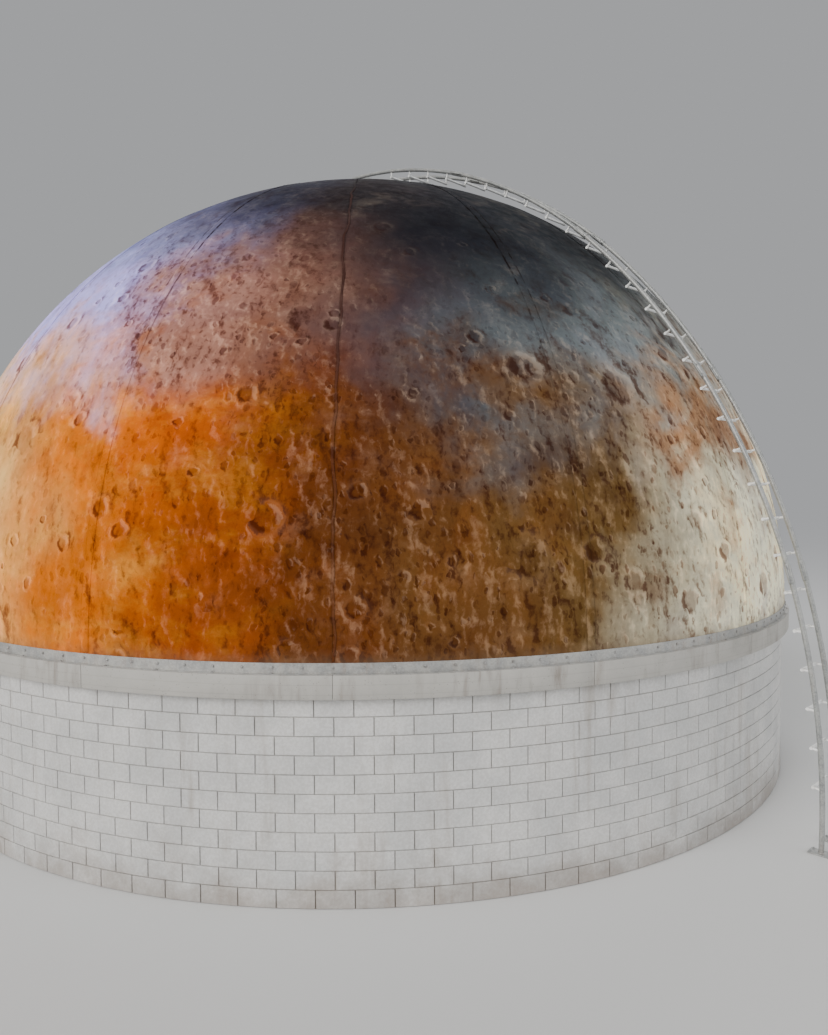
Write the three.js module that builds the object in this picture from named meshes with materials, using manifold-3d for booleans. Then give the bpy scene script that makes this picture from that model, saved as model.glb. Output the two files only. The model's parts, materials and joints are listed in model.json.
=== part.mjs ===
// A fixed hemispherical observatory dome on a low round base wall, with a curved service ladder
// that stands clear of the shell and runs from the ground up to a post on the crown.
// Millimetres, +Z up. The origin is the centre of the base at ground level.
// Bearings are in degrees round the axis: 0 is -Y, the front, and they grow towards +X.
import * as THREE from 'three';
import { mergeVertices } from 'three/addons/utils/BufferGeometryUtils.js';
import Module from 'manifold-3d';

const wasm = await Module();
wasm.setup();

// Driving dimensions
const DOME_RADIUS = 7000;
const SHELL_THICKNESS = 90;
const GORE_COUNT = 16;
const CROWN_OPENING_ELEVATION = 84;

const BASE_HEIGHT = 2400;
const RING_BEAM_HEIGHT = 250;
const RING_BEAM_OUTER_RADIUS = 7060;
const WALL_OUTER_RADIUS = 6950;
const WALL_THICKNESS = 300;
const WALL_SEGMENT_COUNT = 8;

const DOOR_WIDTH = 1800;
const DOOR_HEIGHT = 2020;
const DOOR_FRAME_FACE = 70;
const DOOR_FRAME_DEPTH = 140;
const DOOR_LEAF_THICKNESS = 50;
const DOOR_LEAF_FLOOR_GAP = 10;
const DOOR_LEAF_MEETING_GAP = 4;

const LADDER_BEARING = 45;
const LADDER_HALF_WIDTH = 225;
const LADDER_RAIL_RADIUS = 30;
const LADDER_CLOSEST_ELEVATION = 45;
const LADDER_CLOSEST_STANDOFF = 165;
const LADDER_LOWER_SPREAD = 0.305;
const LADDER_UPPER_SPREAD = 0.138;
const LADDER_TOP_ELEVATION = 91.2;
const TREAD_PITCH = 457;
const TREAD_REFERENCE_ELEVATION = 36.1;
const TREADS_BELOW_REFERENCE = 14;
const TREADS_ABOVE_REFERENCE = 13;
const TREADS_PER_SECTION = 6;
const TREAD_DROP = 100;
const TREAD_RADIUS = 20;
const HANGER_RADIUS = 14;
const FOOT_PLATE = { length: 260, width: 160, thickness: 15 };

const CROWN_FLAT_RADIUS = 280;
const CROWN_FLANGE_RADIUS = 240;
const CROWN_FLANGE_THICKNESS = 20;
const CROWN_POST_RADIUS = 70;
const CROSSHEAD = { depth: 130, height: 70 };

// How finely round forms are faceted
const RING_FACETS = 64;
const SHELL_ELEVATION_STEP = 7;
const RAIL_STEP_DEG = 3.25;
const BAR_SIDES = 6;
const RAIL_SIDES = 8;

// Pieces that rest on one another keep this gap
const GAP = 0.3;

const WALL_INNER_RADIUS = WALL_OUTER_RADIUS - WALL_THICKNESS;
const WALL_HEIGHT = BASE_HEIGHT - RING_BEAM_HEIGHT;
const SHELL_INNER_RADIUS = DOME_RADIUS - SHELL_THICKNESS;
const GORE_ANGLE = 360 / GORE_COUNT;
const WALL_SEGMENT_ANGLE = 360 / WALL_SEGMENT_COUNT;
const DOOR_BEARING = 180;

const rad = THREE.MathUtils.degToRad;

const materials = {
  shell: new THREE.MeshStandardMaterial({ color: 0xb08a6a, roughness: 0.75, metalness: 0 }),
  crown: new THREE.MeshStandardMaterial({ color: 0x4a525c, roughness: 0.7, metalness: 0 }),
  wall: new THREE.MeshStandardMaterial({ color: 0xd8d4ca, roughness: 0.9, metalness: 0 }),
  beam: new THREE.MeshStandardMaterial({ color: 0xbdb8ae, roughness: 0.85, metalness: 0 }),
  door: new THREE.MeshStandardMaterial({ color: 0x5f6b70, roughness: 0.5, metalness: 0.2 }),
  frame: new THREE.MeshStandardMaterial({ color: 0x8a9094, roughness: 0.5, metalness: 0.3 }),
  ladder: new THREE.MeshStandardMaterial({ color: 0xc9ccc8, roughness: 0.45, metalness: 0.6 }),
};

const dome = new THREE.Group();

function addPiece(name, geometry, material) {
  const mesh = new THREE.Mesh(geometry, material);
  mesh.name = name;
  dome.add(mesh);
}

// Joined vertices, and no triangle that has lost its area to the joining
function joinedGeometry(geometry) {
  const bare = geometry.clone();
  bare.deleteAttribute('normal');
  bare.deleteAttribute('uv');
  const merged = mergeVertices(bare, 1e-3);
  const index = merged.index.array;
  const kept = [];
  for (let i = 0; i < index.length; i += 3) {
    const [a, b, c] = [index[i], index[i + 1], index[i + 2]];
    if (a !== b && b !== c && c !== a) {
      kept.push(a, b, c);
    }
  }
  merged.setIndex(kept);
  return merged;
}

function toSolid(geometry) {
  const joined = joinedGeometry(geometry);
  const mesh = new wasm.Mesh({
    numProp: 3,
    vertProperties: new Float32Array(joined.attributes.position.array),
    triVerts: new Uint32Array(joined.index.array),
  });
  return new wasm.Manifold(mesh);
}

function toGeometry(solid) {
  const mesh = solid.getMesh();
  const geometry = new THREE.BufferGeometry();
  geometry.setAttribute('position', new THREE.BufferAttribute(mesh.vertProperties, 3));
  geometry.setIndex(new THREE.BufferAttribute(mesh.triVerts, 1));
  geometry.computeVertexNormals();
  return geometry;
}

// The horizontal direction that faces a bearing
function outward(bearing) {
  return new THREE.Vector3(Math.sin(rad(bearing)), -Math.cos(rad(bearing)), 0);
}

// A closed profile of (radius, height) points turned about the axis, one facet edge at bearing 0
function turned(profile, facets = RING_FACETS) {
  const points = profile.map(([radius, height]) => new THREE.Vector2(radius, height));
  return new THREE.LatheGeometry(points, facets).rotateX(Math.PI / 2);
}

// A stretch of round wall between two bearings, with a gap left at each end
function arcWall(bearingFrom, bearingTo, inner, outer, bottom, top, facets) {
  const endGap = GAP / 2 / outer;
  const start = rad(bearingFrom - 90) + endGap;
  const end = rad(bearingTo - 90) - endGap;
  const plan = new THREE.Shape();
  plan.absarc(0, 0, outer, start, end, false);
  plan.absarc(0, 0, inner, end, start, true);
  plan.closePath();
  const options = { depth: top - bottom, bevelEnabled: false, curveSegments: facets };
  return new THREE.ExtrudeGeometry(plan, options).translate(0, 0, bottom);
}

function box(sizeX, sizeY, sizeZ, x, y, z) {
  return new THREE.BoxGeometry(sizeX, sizeY, sizeZ).translate(x, y, z);
}

// Points of a circle of this radius about the dome's centre, between two elevations
function domeArc(radius, elevationFrom, elevationTo) {
  const steps = Math.max(1, Math.round(Math.abs(elevationTo - elevationFrom) / SHELL_ELEVATION_STEP));
  const points = [];
  for (let i = 0; i <= steps; i += 1) {
    const elevation = rad(elevationFrom + ((elevationTo - elevationFrom) * i) / steps);
    points.push([radius * Math.cos(elevation), BASE_HEIGHT + radius * Math.sin(elevation)]);
  }
  return points;
}

// Base wall: round segments, with the one at the back split beside and over its doorway
function addBaseWall() {
  const facets = RING_FACETS / WALL_SEGMENT_COUNT;
  for (let i = 0; i < WALL_SEGMENT_COUNT; i += 1) {
    const middle = i * WALL_SEGMENT_ANGLE;
    if (middle !== DOOR_BEARING) {
      const from = middle - WALL_SEGMENT_ANGLE / 2;
      const to = middle + WALL_SEGMENT_ANGLE / 2;
      const geometry = arcWall(from, to, WALL_INNER_RADIUS, WALL_OUTER_RADIUS, 0, WALL_HEIGHT - GAP, facets);
      addPiece(`base_wall_${i + 1}`, geometry, materials.wall);
    }
  }

  const doorY = (WALL_INNER_RADIUS + WALL_OUTER_RADIUS) / 2;
  const cutDepth = WALL_THICKNESS * 2;
  const doorway = toSolid(box(DOOR_WIDTH, cutDepth, WALL_HEIGHT * 2, 0, doorY, 0));
  const half = WALL_SEGMENT_ANGLE / 2;
  const sides = [
    ['base_wall_door_right', DOOR_BEARING - half, DOOR_BEARING],
    ['base_wall_door_left', DOOR_BEARING, DOOR_BEARING + half],
  ];
  for (const [name, from, to] of sides) {
    const run = arcWall(from, to, WALL_INNER_RADIUS, WALL_OUTER_RADIUS, 0, WALL_HEIGHT - GAP, facets / 2);
    addPiece(name, toGeometry(toSolid(run).subtract(doorway)), materials.wall);
  }

  const lintelRun = toSolid(arcWall(DOOR_BEARING - half, DOOR_BEARING + half, WALL_INNER_RADIUS,
    WALL_OUTER_RADIUS, DOOR_HEIGHT + GAP, WALL_HEIGHT - GAP, facets));
  const lintelSpan = toSolid(box(DOOR_WIDTH - 2 * GAP, cutDepth, WALL_HEIGHT * 2, 0, doorY, WALL_HEIGHT));
  addPiece('door_lintel', toGeometry(lintelRun.intersect(lintelSpan)), materials.beam);
}

// Door: a frame open at the floor, with two plain leaves that meet in the middle
function addDoor() {
  const halfWidth = DOOR_WIDTH / 2 - GAP;
  const innerHalf = halfWidth - DOOR_FRAME_FACE;
  const innerHeight = DOOR_HEIGHT - DOOR_FRAME_FACE;
  const middleY = (WALL_INNER_RADIUS + WALL_OUTER_RADIUS) / 2;

  const outline = new THREE.Shape();
  outline.moveTo(-halfWidth, 0);
  outline.lineTo(-innerHalf, 0);
  outline.lineTo(-innerHalf, innerHeight);
  outline.lineTo(innerHalf, innerHeight);
  outline.lineTo(innerHalf, 0);
  outline.lineTo(halfWidth, 0);
  outline.lineTo(halfWidth, DOOR_HEIGHT);
  outline.lineTo(-halfWidth, DOOR_HEIGHT);
  outline.closePath();
  const options = { depth: DOOR_FRAME_DEPTH, bevelEnabled: false };
  const frame = new THREE.ExtrudeGeometry(outline, options)
    .rotateX(Math.PI / 2)
    .translate(0, middleY + DOOR_FRAME_DEPTH / 2, 0);
  addPiece('door_frame', frame, materials.frame);

  const leafWidth = innerHalf - GAP - DOOR_LEAF_MEETING_GAP / 2;
  const leafHeight = innerHeight - GAP - DOOR_LEAF_FLOOR_GAP;
  const leafX = innerHalf - GAP - leafWidth / 2;
  const leafZ = DOOR_LEAF_FLOOR_GAP + leafHeight / 2;
  for (const [name, side] of [['door_leaf_right', 1], ['door_leaf_left', -1]]) {
    const leaf = box(leafWidth, DOOR_LEAF_THICKNESS, leafHeight, side * leafX, middleY, leafZ);
    addPiece(name, leaf, materials.door);
  }
}

function addRingBeam() {
  const bottom = WALL_HEIGHT;
  const top = BASE_HEIGHT - GAP;
  const profile = [
    [WALL_INNER_RADIUS, bottom],
    [RING_BEAM_OUTER_RADIUS, bottom],
    [RING_BEAM_OUTER_RADIUS, top],
    [WALL_INNER_RADIUS, top],
    [WALL_INNER_RADIUS, bottom],
  ];
  addPiece('ring_beam', turned(profile), materials.beam);
}

// Shell: a turned hemisphere of real thickness, cut along the seams into equal gores
function addShell() {
  const outer = domeArc(DOME_RADIUS, 0, CROWN_OPENING_ELEVATION);
  const inner = domeArc(SHELL_INNER_RADIUS, CROWN_OPENING_ELEVATION, 0);
  const shell = toSolid(turned([...outer, ...inner, outer[0]]));

  for (let i = 0; i < GORE_COUNT; i += 1) {
    const from = i * GORE_ANGLE;
    const to = from + GORE_ANGLE;
    const tip = outward((from + to) / 2).multiplyScalar(GAP / 2 / Math.sin(rad(GORE_ANGLE / 2)));
    const reach = DOME_RADIUS * 1.2;
    const corners = [tip, outward(from).multiplyScalar(reach).add(tip), outward(to).multiplyScalar(reach).add(tip)];
    const plan = new THREE.Shape(corners.map((corner) => new THREE.Vector2(corner.x, corner.y)));
    const wedge = new THREE.ExtrudeGeometry(plan, { depth: DOME_RADIUS * 2, bevelEnabled: false });
    const name = `shell_gore_${String(i + 1).padStart(2, '0')}`;
    addPiece(name, toGeometry(shell.intersect(toSolid(wedge))), materials.shell);
  }
}

// The height of the crown's flat, where the post's flange sits
function crownFlatHeight() {
  return BASE_HEIGHT + Math.sqrt(DOME_RADIUS ** 2 - CROWN_FLAT_RADIUS ** 2);
}

// Crown cap: a plug of the shell's own curve that closes the ring of gores, flat in the middle
function addCrownCap() {
  const edge = rad(CROWN_OPENING_ELEVATION);
  const rimRadius = (radius) => radius * Math.cos(edge) - GAP;
  const rimHeight = (radius) => BASE_HEIGHT + radius * Math.sin(edge);
  const profile = [
    [0, BASE_HEIGHT + SHELL_INNER_RADIUS],
    [rimRadius(SHELL_INNER_RADIUS), rimHeight(SHELL_INNER_RADIUS)],
    [rimRadius(DOME_RADIUS), rimHeight(DOME_RADIUS)],
    [CROWN_FLAT_RADIUS, crownFlatHeight()],
    [0, crownFlatHeight()],
  ];
  addPiece('crown_cap', turned(profile), materials.crown);
}

// How far the ladder's rails stand off the shell at an elevation
function standoff(elevation) {
  const away = elevation - LADDER_CLOSEST_ELEVATION;
  const spread = away < 0 ? LADDER_LOWER_SPREAD : LADDER_UPPER_SPREAD;
  return LADDER_CLOSEST_STANDOFF + spread * away * away;
}

// A point beside the ladder's centre line: side across the ladder, drop in towards the shell
function ladderPoint(elevation, side = 0, drop = 0) {
  const radius = DOME_RADIUS + standoff(elevation) - drop;
  const out = outward(LADDER_BEARING);
  const across = outward(LADDER_BEARING + 90);
  return new THREE.Vector3(0, 0, BASE_HEIGHT + radius * Math.sin(rad(elevation)))
    .addScaledVector(out, radius * Math.cos(rad(elevation)))
    .addScaledVector(across, side);
}

class RailPath extends THREE.Curve {
  constructor(from, to, side) {
    super();
    this.from = from;
    this.to = to;
    this.side = side;
  }

  getPoint(t) {
    return ladderPoint(this.from + (this.to - this.from) * t, this.side);
  }
}

// The elevation of a tread, counted in whole pitches along the rails from the reference tread
function treadElevation(k) {
  const below = -40;
  const above = 100;
  const line = new RailPath(below, above, 0);
  const reference = new RailPath(below, TREAD_REFERENCE_ELEVATION, 0).getLength();
  return below + (above - below) * line.getUtoTmapping(0, reference + k * TREAD_PITCH);
}

function polygonShape(radius, sides) {
  const points = [];
  for (let i = 0; i < sides; i += 1) {
    const angle = ((i + 0.5) * 2 * Math.PI) / sides;
    points.push(new THREE.Vector2(radius * Math.cos(angle), radius * Math.sin(angle)));
  }
  return new THREE.Shape(points);
}

function rail(from, to, side) {
  const steps = Math.max(2, Math.round((to - from) / RAIL_STEP_DEG));
  const options = { steps, bevelEnabled: false, extrudePath: new RailPath(from, to, side) };
  return toSolid(new THREE.ExtrudeGeometry(polygonShape(LADDER_RAIL_RADIUS, RAIL_SIDES), options));
}

function bar(start, end, radius) {
  const along = new THREE.Vector3().subVectors(end, start);
  const turn = new THREE.Quaternion().setFromUnitVectors(new THREE.Vector3(0, 1, 0), along.clone().normalize());
  const middle = start.clone().addScaledVector(along, 0.5);
  const geometry = new THREE.CylinderGeometry(radius, radius, along.length(), BAR_SIDES)
    .applyQuaternion(turn)
    .translate(middle.x, middle.y, middle.z);
  return toSolid(geometry);
}

// A tread hung in towards the shell between two hangers
function tread(elevation) {
  const reach = LADDER_HALF_WIDTH + HANGER_RADIUS;
  let piece = bar(ladderPoint(elevation, -reach, TREAD_DROP), ladderPoint(elevation, reach, TREAD_DROP), TREAD_RADIUS);
  for (const side of [-LADDER_HALF_WIDTH, LADDER_HALF_WIDTH]) {
    piece = piece.add(bar(ladderPoint(elevation, side, 0), ladderPoint(elevation, side, TREAD_DROP), HANGER_RADIUS));
  }
  return piece;
}

// The elevation at which the ladder's centre line reaches a height above the ground
function elevationAtHeight(height) {
  let low = -40;
  let high = 40;
  for (let i = 0; i < 60; i += 1) {
    const middle = (low + high) / 2;
    if (ladderPoint(middle).z < height) {
      low = middle;
    } else {
      high = middle;
    }
  }
  return low;
}

function crossheadHeight() {
  return ladderPoint(90).z;
}

// Ladder: sections of two rails and their treads, jointed end to end
function addLadder() {
  const lowest = -TREADS_BELOW_REFERENCE;
  const highest = TREADS_ABOVE_REFERENCE;
  const jointGap = THREE.MathUtils.radToDeg(GAP / 2 / DOME_RADIUS);
  const footTop = FOOT_PLATE.thickness + GAP;
  const footElevation = elevationAtHeight(footTop);

  const out = outward(LADDER_BEARING);
  const across = outward(LADDER_BEARING + 90);
  const turnToLadder = rad(LADDER_BEARING - 90);

  const sectionCount = Math.ceil((highest - lowest + 1) / TREADS_PER_SECTION);
  for (let i = 0; i < sectionCount; i += 1) {
    const firstTread = lowest + i * TREADS_PER_SECTION;
    const isFirst = i === 0;
    const isLast = i === sectionCount - 1;
    const lastTread = isLast ? highest : firstTread + TREADS_PER_SECTION - 1;
    const from = isFirst ? footElevation - 1 : treadElevation(firstTread - 0.5) + jointGap;
    const to = isLast ? LADDER_TOP_ELEVATION : treadElevation(lastTread + 0.5) - jointGap;

    let section = rail(from, to, -LADDER_HALF_WIDTH).add(rail(from, to, LADDER_HALF_WIDTH));
    for (let k = firstTread; k <= lastTread; k += 1) {
      section = section.add(tread(treadElevation(k)));
    }
    if (isFirst) {
      const ground = box(3 * DOME_RADIUS, 3 * DOME_RADIUS, 1000, 0, 0, footTop - 500);
      section = section.subtract(toSolid(ground));
    }
    if (isLast) {
      const head = new THREE.BoxGeometry(CROSSHEAD.depth, 2 * LADDER_HALF_WIDTH, CROSSHEAD.height)
        .rotateZ(turnToLadder)
        .translate(0, 0, crossheadHeight());
      section = section.add(toSolid(head));
    }
    addPiece(`ladder_section_${i + 1}`, toGeometry(section), materials.ladder);
  }

  const footOut = ladderPoint(footElevation).dot(out);
  for (const [name, side] of [['ladder_foot_left', -1], ['ladder_foot_right', 1]]) {
    const centre = out.clone().multiplyScalar(footOut).addScaledVector(across, side * LADDER_HALF_WIDTH);
    const plate = new THREE.BoxGeometry(FOOT_PLATE.length, FOOT_PLATE.width, FOOT_PLATE.thickness)
      .rotateZ(turnToLadder)
      .translate(centre.x, centre.y, FOOT_PLATE.thickness / 2);
    addPiece(name, plate, materials.ladder);
  }
}

// Crown post: a flange on the crown's flat and a round post up to the ladder's crosshead
function addCrownPost() {
  const bottom = crownFlatHeight() + GAP;
  const flangeTop = bottom + CROWN_FLANGE_THICKNESS;
  const top = crossheadHeight() - CROSSHEAD.height / 2 - GAP;
  const profile = [
    [0, bottom],
    [CROWN_FLANGE_RADIUS, bottom],
    [CROWN_FLANGE_RADIUS, flangeTop],
    [CROWN_POST_RADIUS, flangeTop],
    [CROWN_POST_RADIUS, top],
    [0, top],
  ];
  addPiece('crown_post', turned(profile, RING_FACETS / 4), materials.ladder);
}

addBaseWall();
addDoor();
addRingBeam();
addShell();
addCrownCap();
addCrownPost();
addLadder();

export default dome;
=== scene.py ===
import json
import math
from contextlib import contextmanager
from functools import cache
from typing import NamedTuple

import bmesh
import bpy
from bpy.props import FloatProperty, FloatVectorProperty, IntProperty, PointerProperty
from bpy.types import Operator, Panel, PropertyGroup
from mathutils import Matrix, Vector

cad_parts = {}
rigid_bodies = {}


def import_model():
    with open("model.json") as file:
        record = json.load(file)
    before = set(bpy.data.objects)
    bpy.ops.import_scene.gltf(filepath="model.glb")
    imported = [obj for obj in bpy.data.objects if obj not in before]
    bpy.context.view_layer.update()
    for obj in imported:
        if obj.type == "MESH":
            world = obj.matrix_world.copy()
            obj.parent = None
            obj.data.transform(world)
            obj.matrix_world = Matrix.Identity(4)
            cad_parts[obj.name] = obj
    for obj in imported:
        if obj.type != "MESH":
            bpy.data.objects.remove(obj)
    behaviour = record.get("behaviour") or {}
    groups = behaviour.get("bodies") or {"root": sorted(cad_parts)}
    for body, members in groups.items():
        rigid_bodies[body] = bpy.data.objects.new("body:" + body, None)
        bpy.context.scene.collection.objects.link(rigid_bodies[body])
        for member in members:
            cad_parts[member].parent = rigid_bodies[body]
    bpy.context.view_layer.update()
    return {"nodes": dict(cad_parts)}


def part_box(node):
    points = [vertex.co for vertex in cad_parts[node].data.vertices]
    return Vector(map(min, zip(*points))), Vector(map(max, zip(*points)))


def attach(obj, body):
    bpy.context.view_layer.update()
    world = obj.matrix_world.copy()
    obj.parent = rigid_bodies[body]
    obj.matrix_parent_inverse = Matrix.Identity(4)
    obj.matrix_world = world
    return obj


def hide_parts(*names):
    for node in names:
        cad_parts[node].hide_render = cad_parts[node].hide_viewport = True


# A fixed observatory dome: sixteen painted shell gores with sealed and covered seams, a crown cap
# and post, a ring beam on a round block wall with a double door, and a curved service ladder.
# Metres. Bearings are in degrees round the axis: 0 is -Y, the front, and they grow towards +X.

bl_info = {
    "name": "Observatory Dome",
    "version": (1, 0, 0),
    "blender": (4, 5, 0),
    "location": "3D View > Sidebar > Dome",
    "description": "Builds the finished pieces of a painted observatory dome round its CAD frame",
    "category": "Object",
}

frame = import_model()

BODY = "root"


def frame_edge(node, corner, axis):
    """A CAD node's lowest (0) or highest (1) coordinate along an axis, to the millimetre."""
    return round(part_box(node)[corner][axis], 3)


# Sizes taken from the frame
DOME_RADIUS = frame_edge("shell_gore_04", 1, 0)
SPRINGING = frame_edge("shell_gore_01", 0, 2)
BEAM_RADIUS = frame_edge("ring_beam", 1, 0)
BEAM_BOTTOM = frame_edge("ring_beam", 0, 2)
WALL_RADIUS = frame_edge("base_wall_3", 1, 0)
DOOR_HALF_WIDTH = frame_edge("door_frame", 1, 0)
CROWN_FLAT = frame_edge("crown_post", 0, 2)
POST_TOP = frame_edge("crown_post", 1, 2)
GORE_NODES = [f"shell_gore_{i:02d}" for i in range(1, 17)]
LADDER_NODES = [f"ladder_section_{i}" for i in range(1, 6)]
WALL_NODES = [n for n in sorted(frame["nodes"]) if n.startswith("base_wall")]

# Inside of the wall and of the beam on it, which no node's box shows
WALL_INNER_RADIUS = 6.65

# One gore's share of the circle, in degrees
BAY = 360 / len(GORE_NODES)
CENTRE = Vector((0, 0, SPRINGING))
SIDEWAYS = Vector((1, 0, 0))
UPWARDS = Vector((0, 0, 1))
MERGE_DISTANCE = 0.0005


# Sizes and colours that a user would change

def length(name, description, value):
    return FloatProperty(name=name, description=description, default=value, unit="LENGTH")


def colour(name, description, value):
    return FloatVectorProperty(name=name, description=description, default=value, size=3, min=0.0,
                               max=1.0, subtype="COLOR")


class ShellSizes(PropertyGroup):
    radius: length("Radius", "Outer radius of the shell", DOME_RADIUS)
    thickness: length("Thickness", "Thickness of the shell", 0.09)
    crown_elevation: IntProperty(name="Crown elevation", description="Where the gores end, in degrees",
                                 default=84)
    joint_bevel: length("Joint bevel", "Rounding of each gore's edges", 0.007)
    seal_width: length("Seal width", "Width of the sealant over a plain seam", 0.026)
    seal_height: length("Seal height", "How proud the sealant stands", 0.005)
    seal_wander: length("Seal wander", "How far the sealant strays sideways", 0.11)
    strip_width: length("Strip width", "Width of the cover strips", 0.1)
    strip_height: length("Strip height", "Thickness of the cover strips", 0.004)


class WallSizes(PropertyGroup):
    block_count: IntProperty(name="Blocks round", description="Blocks in one full course", default=109)
    course_count: IntProperty(name="Courses", description="Courses of blocks", default=11)
    mortar: length("Mortar", "Width of the joints between blocks", 0.01)
    proud: length("Block relief", "How proud of the joints the blocks stand", 0.012)


class LadderSizes(PropertyGroup):
    bearing: FloatProperty(name="Bearing", default=45.0,
                           description="Where the ladder stands round the dome, in degrees")
    half_width: length("Half width", "From the centre line to a rail", 0.225)
    rail_radius: length("Rail radius", "Radius of the rail tubes", 0.03)
    tread_radius: length("Tread radius", "Radius of the treads", 0.02)
    tread_pitch: length("Tread pitch", "From tread to tread along the rails", 0.457)
    tread_drop: length("Tread drop", "How far the treads hang in from the rails", 0.1)


class DoorSizes(PropertyGroup):
    panel_margin: length("Panel margin", "Flat border round each pressed panel", 0.1)
    panel_depth: length("Panel depth", "Depth of the pressed panels", 0.014)
    handle_length: length("Handle length", "Length of the pull handles", 0.4)


class PaintColours(PropertyGroup):
    # Besides the ground's own colours, painted light makes the far left and far right paler and painted
    # shade darkens the front
    low_gold: colour("Pale gold", "Low ground, far left", (1.0, 0.66, 0.24))
    low_amber: colour("Amber", "Veins in the orange ground", (0.84, 0.40, 0.06))
    low_orange: colour("Orange", "Low ground, left", (0.72, 0.17, 0.002))
    low_rust: colour("Rust", "Low ground, left of the front", (0.37, 0.072, 0.001))
    low_umber: colour("Umber", "Low ground, front", (0.118, 0.03, 0.006))
    low_tan: colour("Tan", "Low ground, right", (0.13, 0.07, 0.021))
    low_cream: colour("Cream", "Low ground, far right", (1.0, 0.96, 0.71))
    low_russet: colour("Russet", "Along the boundary on the right", (0.34, 0.15, 0.055))
    high_lilac: colour("Lilac", "High ground, far left", (0.55, 0.5, 1.0))
    high_pink: colour("Pinkish tan", "High ground, left", (0.43, 0.205, 0.155))
    high_brown: colour("Brown", "High ground, left of the front", (0.24, 0.105, 0.067))
    high_mauve: colour("Dusky mauve", "High ground, front", (0.07, 0.046, 0.05))
    high_slate: colour("Pale slate", "High ground, right of the front", (0.083, 0.093, 0.102))
    high_grey: colour("Green grey", "High ground, right", (0.22, 0.255, 0.26))
    high_pale: colour("Pale grey", "High ground, far right", (0.46, 0.43, 0.36))
    high_haze: colour("Blue grey", "Below the crown on the left", (0.32, 0.36, 0.66))
    # The crown's slate is partly painted shade, darkest near the top
    crown: colour("Slate", "The crown", (0.012, 0.0135, 0.017))
    shadow: colour("Crater shadow", "The dark side of painted craters", (0.045, 0.014, 0.009))
    light: colour("Crater light", "The bright side of painted craters", (0.90, 0.72, 0.52))


PROPERTY_GROUPS = {
    "dome_shell": ShellSizes,
    "dome_wall": WallSizes,
    "dome_ladder": LadderSizes,
    "dome_door": DoorSizes,
    "dome_paint": PaintColours,
}


# Working in object and edit mode

def deselect_all():
    bpy.ops.object.select_all(action="DESELECT")


def make_active(obj):
    deselect_all()
    obj.select_set(True)
    bpy.context.view_layer.objects.active = obj


@contextmanager
def editing(obj):
    """Edit mode on one piece, with all of it selected."""
    make_active(obj)
    bpy.ops.object.mode_set(mode="EDIT")
    bpy.ops.mesh.select_all(action="SELECT")
    yield
    bpy.ops.object.mode_set(mode="OBJECT")


def pick(obj, kind, test):
    """Selects only the vertices, edges or faces that pass a test, in edit mode."""
    bpy.ops.mesh.select_mode(type=kind)
    bpy.ops.mesh.select_all(action="DESELECT")
    mesh = bmesh.from_edit_mesh(obj.data)
    parts = {"VERT": mesh.verts, "EDGE": mesh.edges, "FACE": mesh.faces}[kind]
    for part in parts:
        if test(part):
            part.select_set(True)
    mesh.select_flush_mode()
    bmesh.update_edit_mesh(obj.data)


def settle(obj):
    """Puts a piece's place, turn and scale into its mesh."""
    make_active(obj)
    bpy.ops.object.transform_apply(location=True, rotation=True, scale=True)


def modify(obj, kind, **settings):
    make_active(obj)
    modifier = obj.modifiers.new(kind.title(), kind)
    for name, value in settings.items():
        setattr(modifier, name, value)
    bpy.ops.object.modifier_apply(modifier=modifier.name)


def bevel(obj, width, segments=2):
    modify(obj, "BEVEL", width=width, segments=segments, limit_method="ANGLE",
           angle_limit=math.radians(35))


def copy_placed(obj, matrix):
    """A copy with its own mesh, moved by a matrix."""
    make_active(obj)
    bpy.ops.object.duplicate(linked=False)
    copy = bpy.context.object
    copy.matrix_world = matrix
    settle(copy)
    return copy


def turned(degrees):
    """A matrix that turns round the dome's axis."""
    return Matrix.Rotation(math.radians(degrees), 4, "Z")


def join(pieces):
    deselect_all()
    for piece in pieces:
        piece.select_set(True)
    bpy.context.view_layer.objects.active = pieces[0]
    bpy.ops.object.join()
    return bpy.context.object


def discard(*pieces):
    for piece in pieces:
        make_active(piece)
        bpy.ops.object.delete()


def repeat_turned(obj, count, step):
    """Repeats a piece round the axis in one mesh, each copy turned by a step in degrees."""
    deselect_all()
    bpy.ops.object.empty_add(location=(0, 0, 0), rotation=(0, 0, math.radians(step)))
    turn = bpy.context.object
    modify(obj, "ARRAY", count=count, use_relative_offset=False, use_object_offset=True,
           offset_object=turn)
    discard(turn)


def finish_piece(obj, name, slot, *materials, replaces=(), smooth_angle=35):
    """Names a piece, gives it its materials and ties it to the frame."""
    settle(obj)
    obj.name = name
    obj.data.name = name
    bpy.ops.object.shade_smooth_by_angle(angle=math.radians(smooth_angle))
    for i, material in enumerate(materials):
        if i < len(obj.data.materials):
            obj.data.materials[i] = material
        else:
            obj.data.materials.append(material)
    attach(obj, BODY)
    if replaces:
        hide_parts(*replaces)


# Forms that several pieces start from

def block(size, place=(0, 0, 0)):
    """A plain block with its sizes along X, Y and Z, centred on a place."""
    deselect_all()
    bpy.ops.mesh.primitive_cube_add(size=1, location=place)
    piece = bpy.context.object
    piece.scale = size
    settle(piece)
    return piece


def rod(radius, depth, place=(0, 0, 0), sides=16, turn=(0, 0, 0)):
    """A round bar centred on a place, upright unless it is turned."""
    deselect_all()
    bpy.ops.mesh.primitive_cylinder_add(vertices=sides, radius=radius, depth=depth, location=place,
                                        rotation=turn)
    piece = bpy.context.object
    settle(piece)
    return piece


def weld_bead(radius, thickness, place, steps):
    """A bead of weld round an upright bar."""
    bpy.ops.mesh.primitive_torus_add(major_radius=radius, minor_radius=thickness, major_segments=steps,
                                     minor_segments=6, location=place)
    return bpy.context.object


def outward(bearing):
    """The horizontal direction that faces a bearing."""
    return Vector((math.sin(math.radians(bearing)), -math.cos(math.radians(bearing)), 0))


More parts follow.
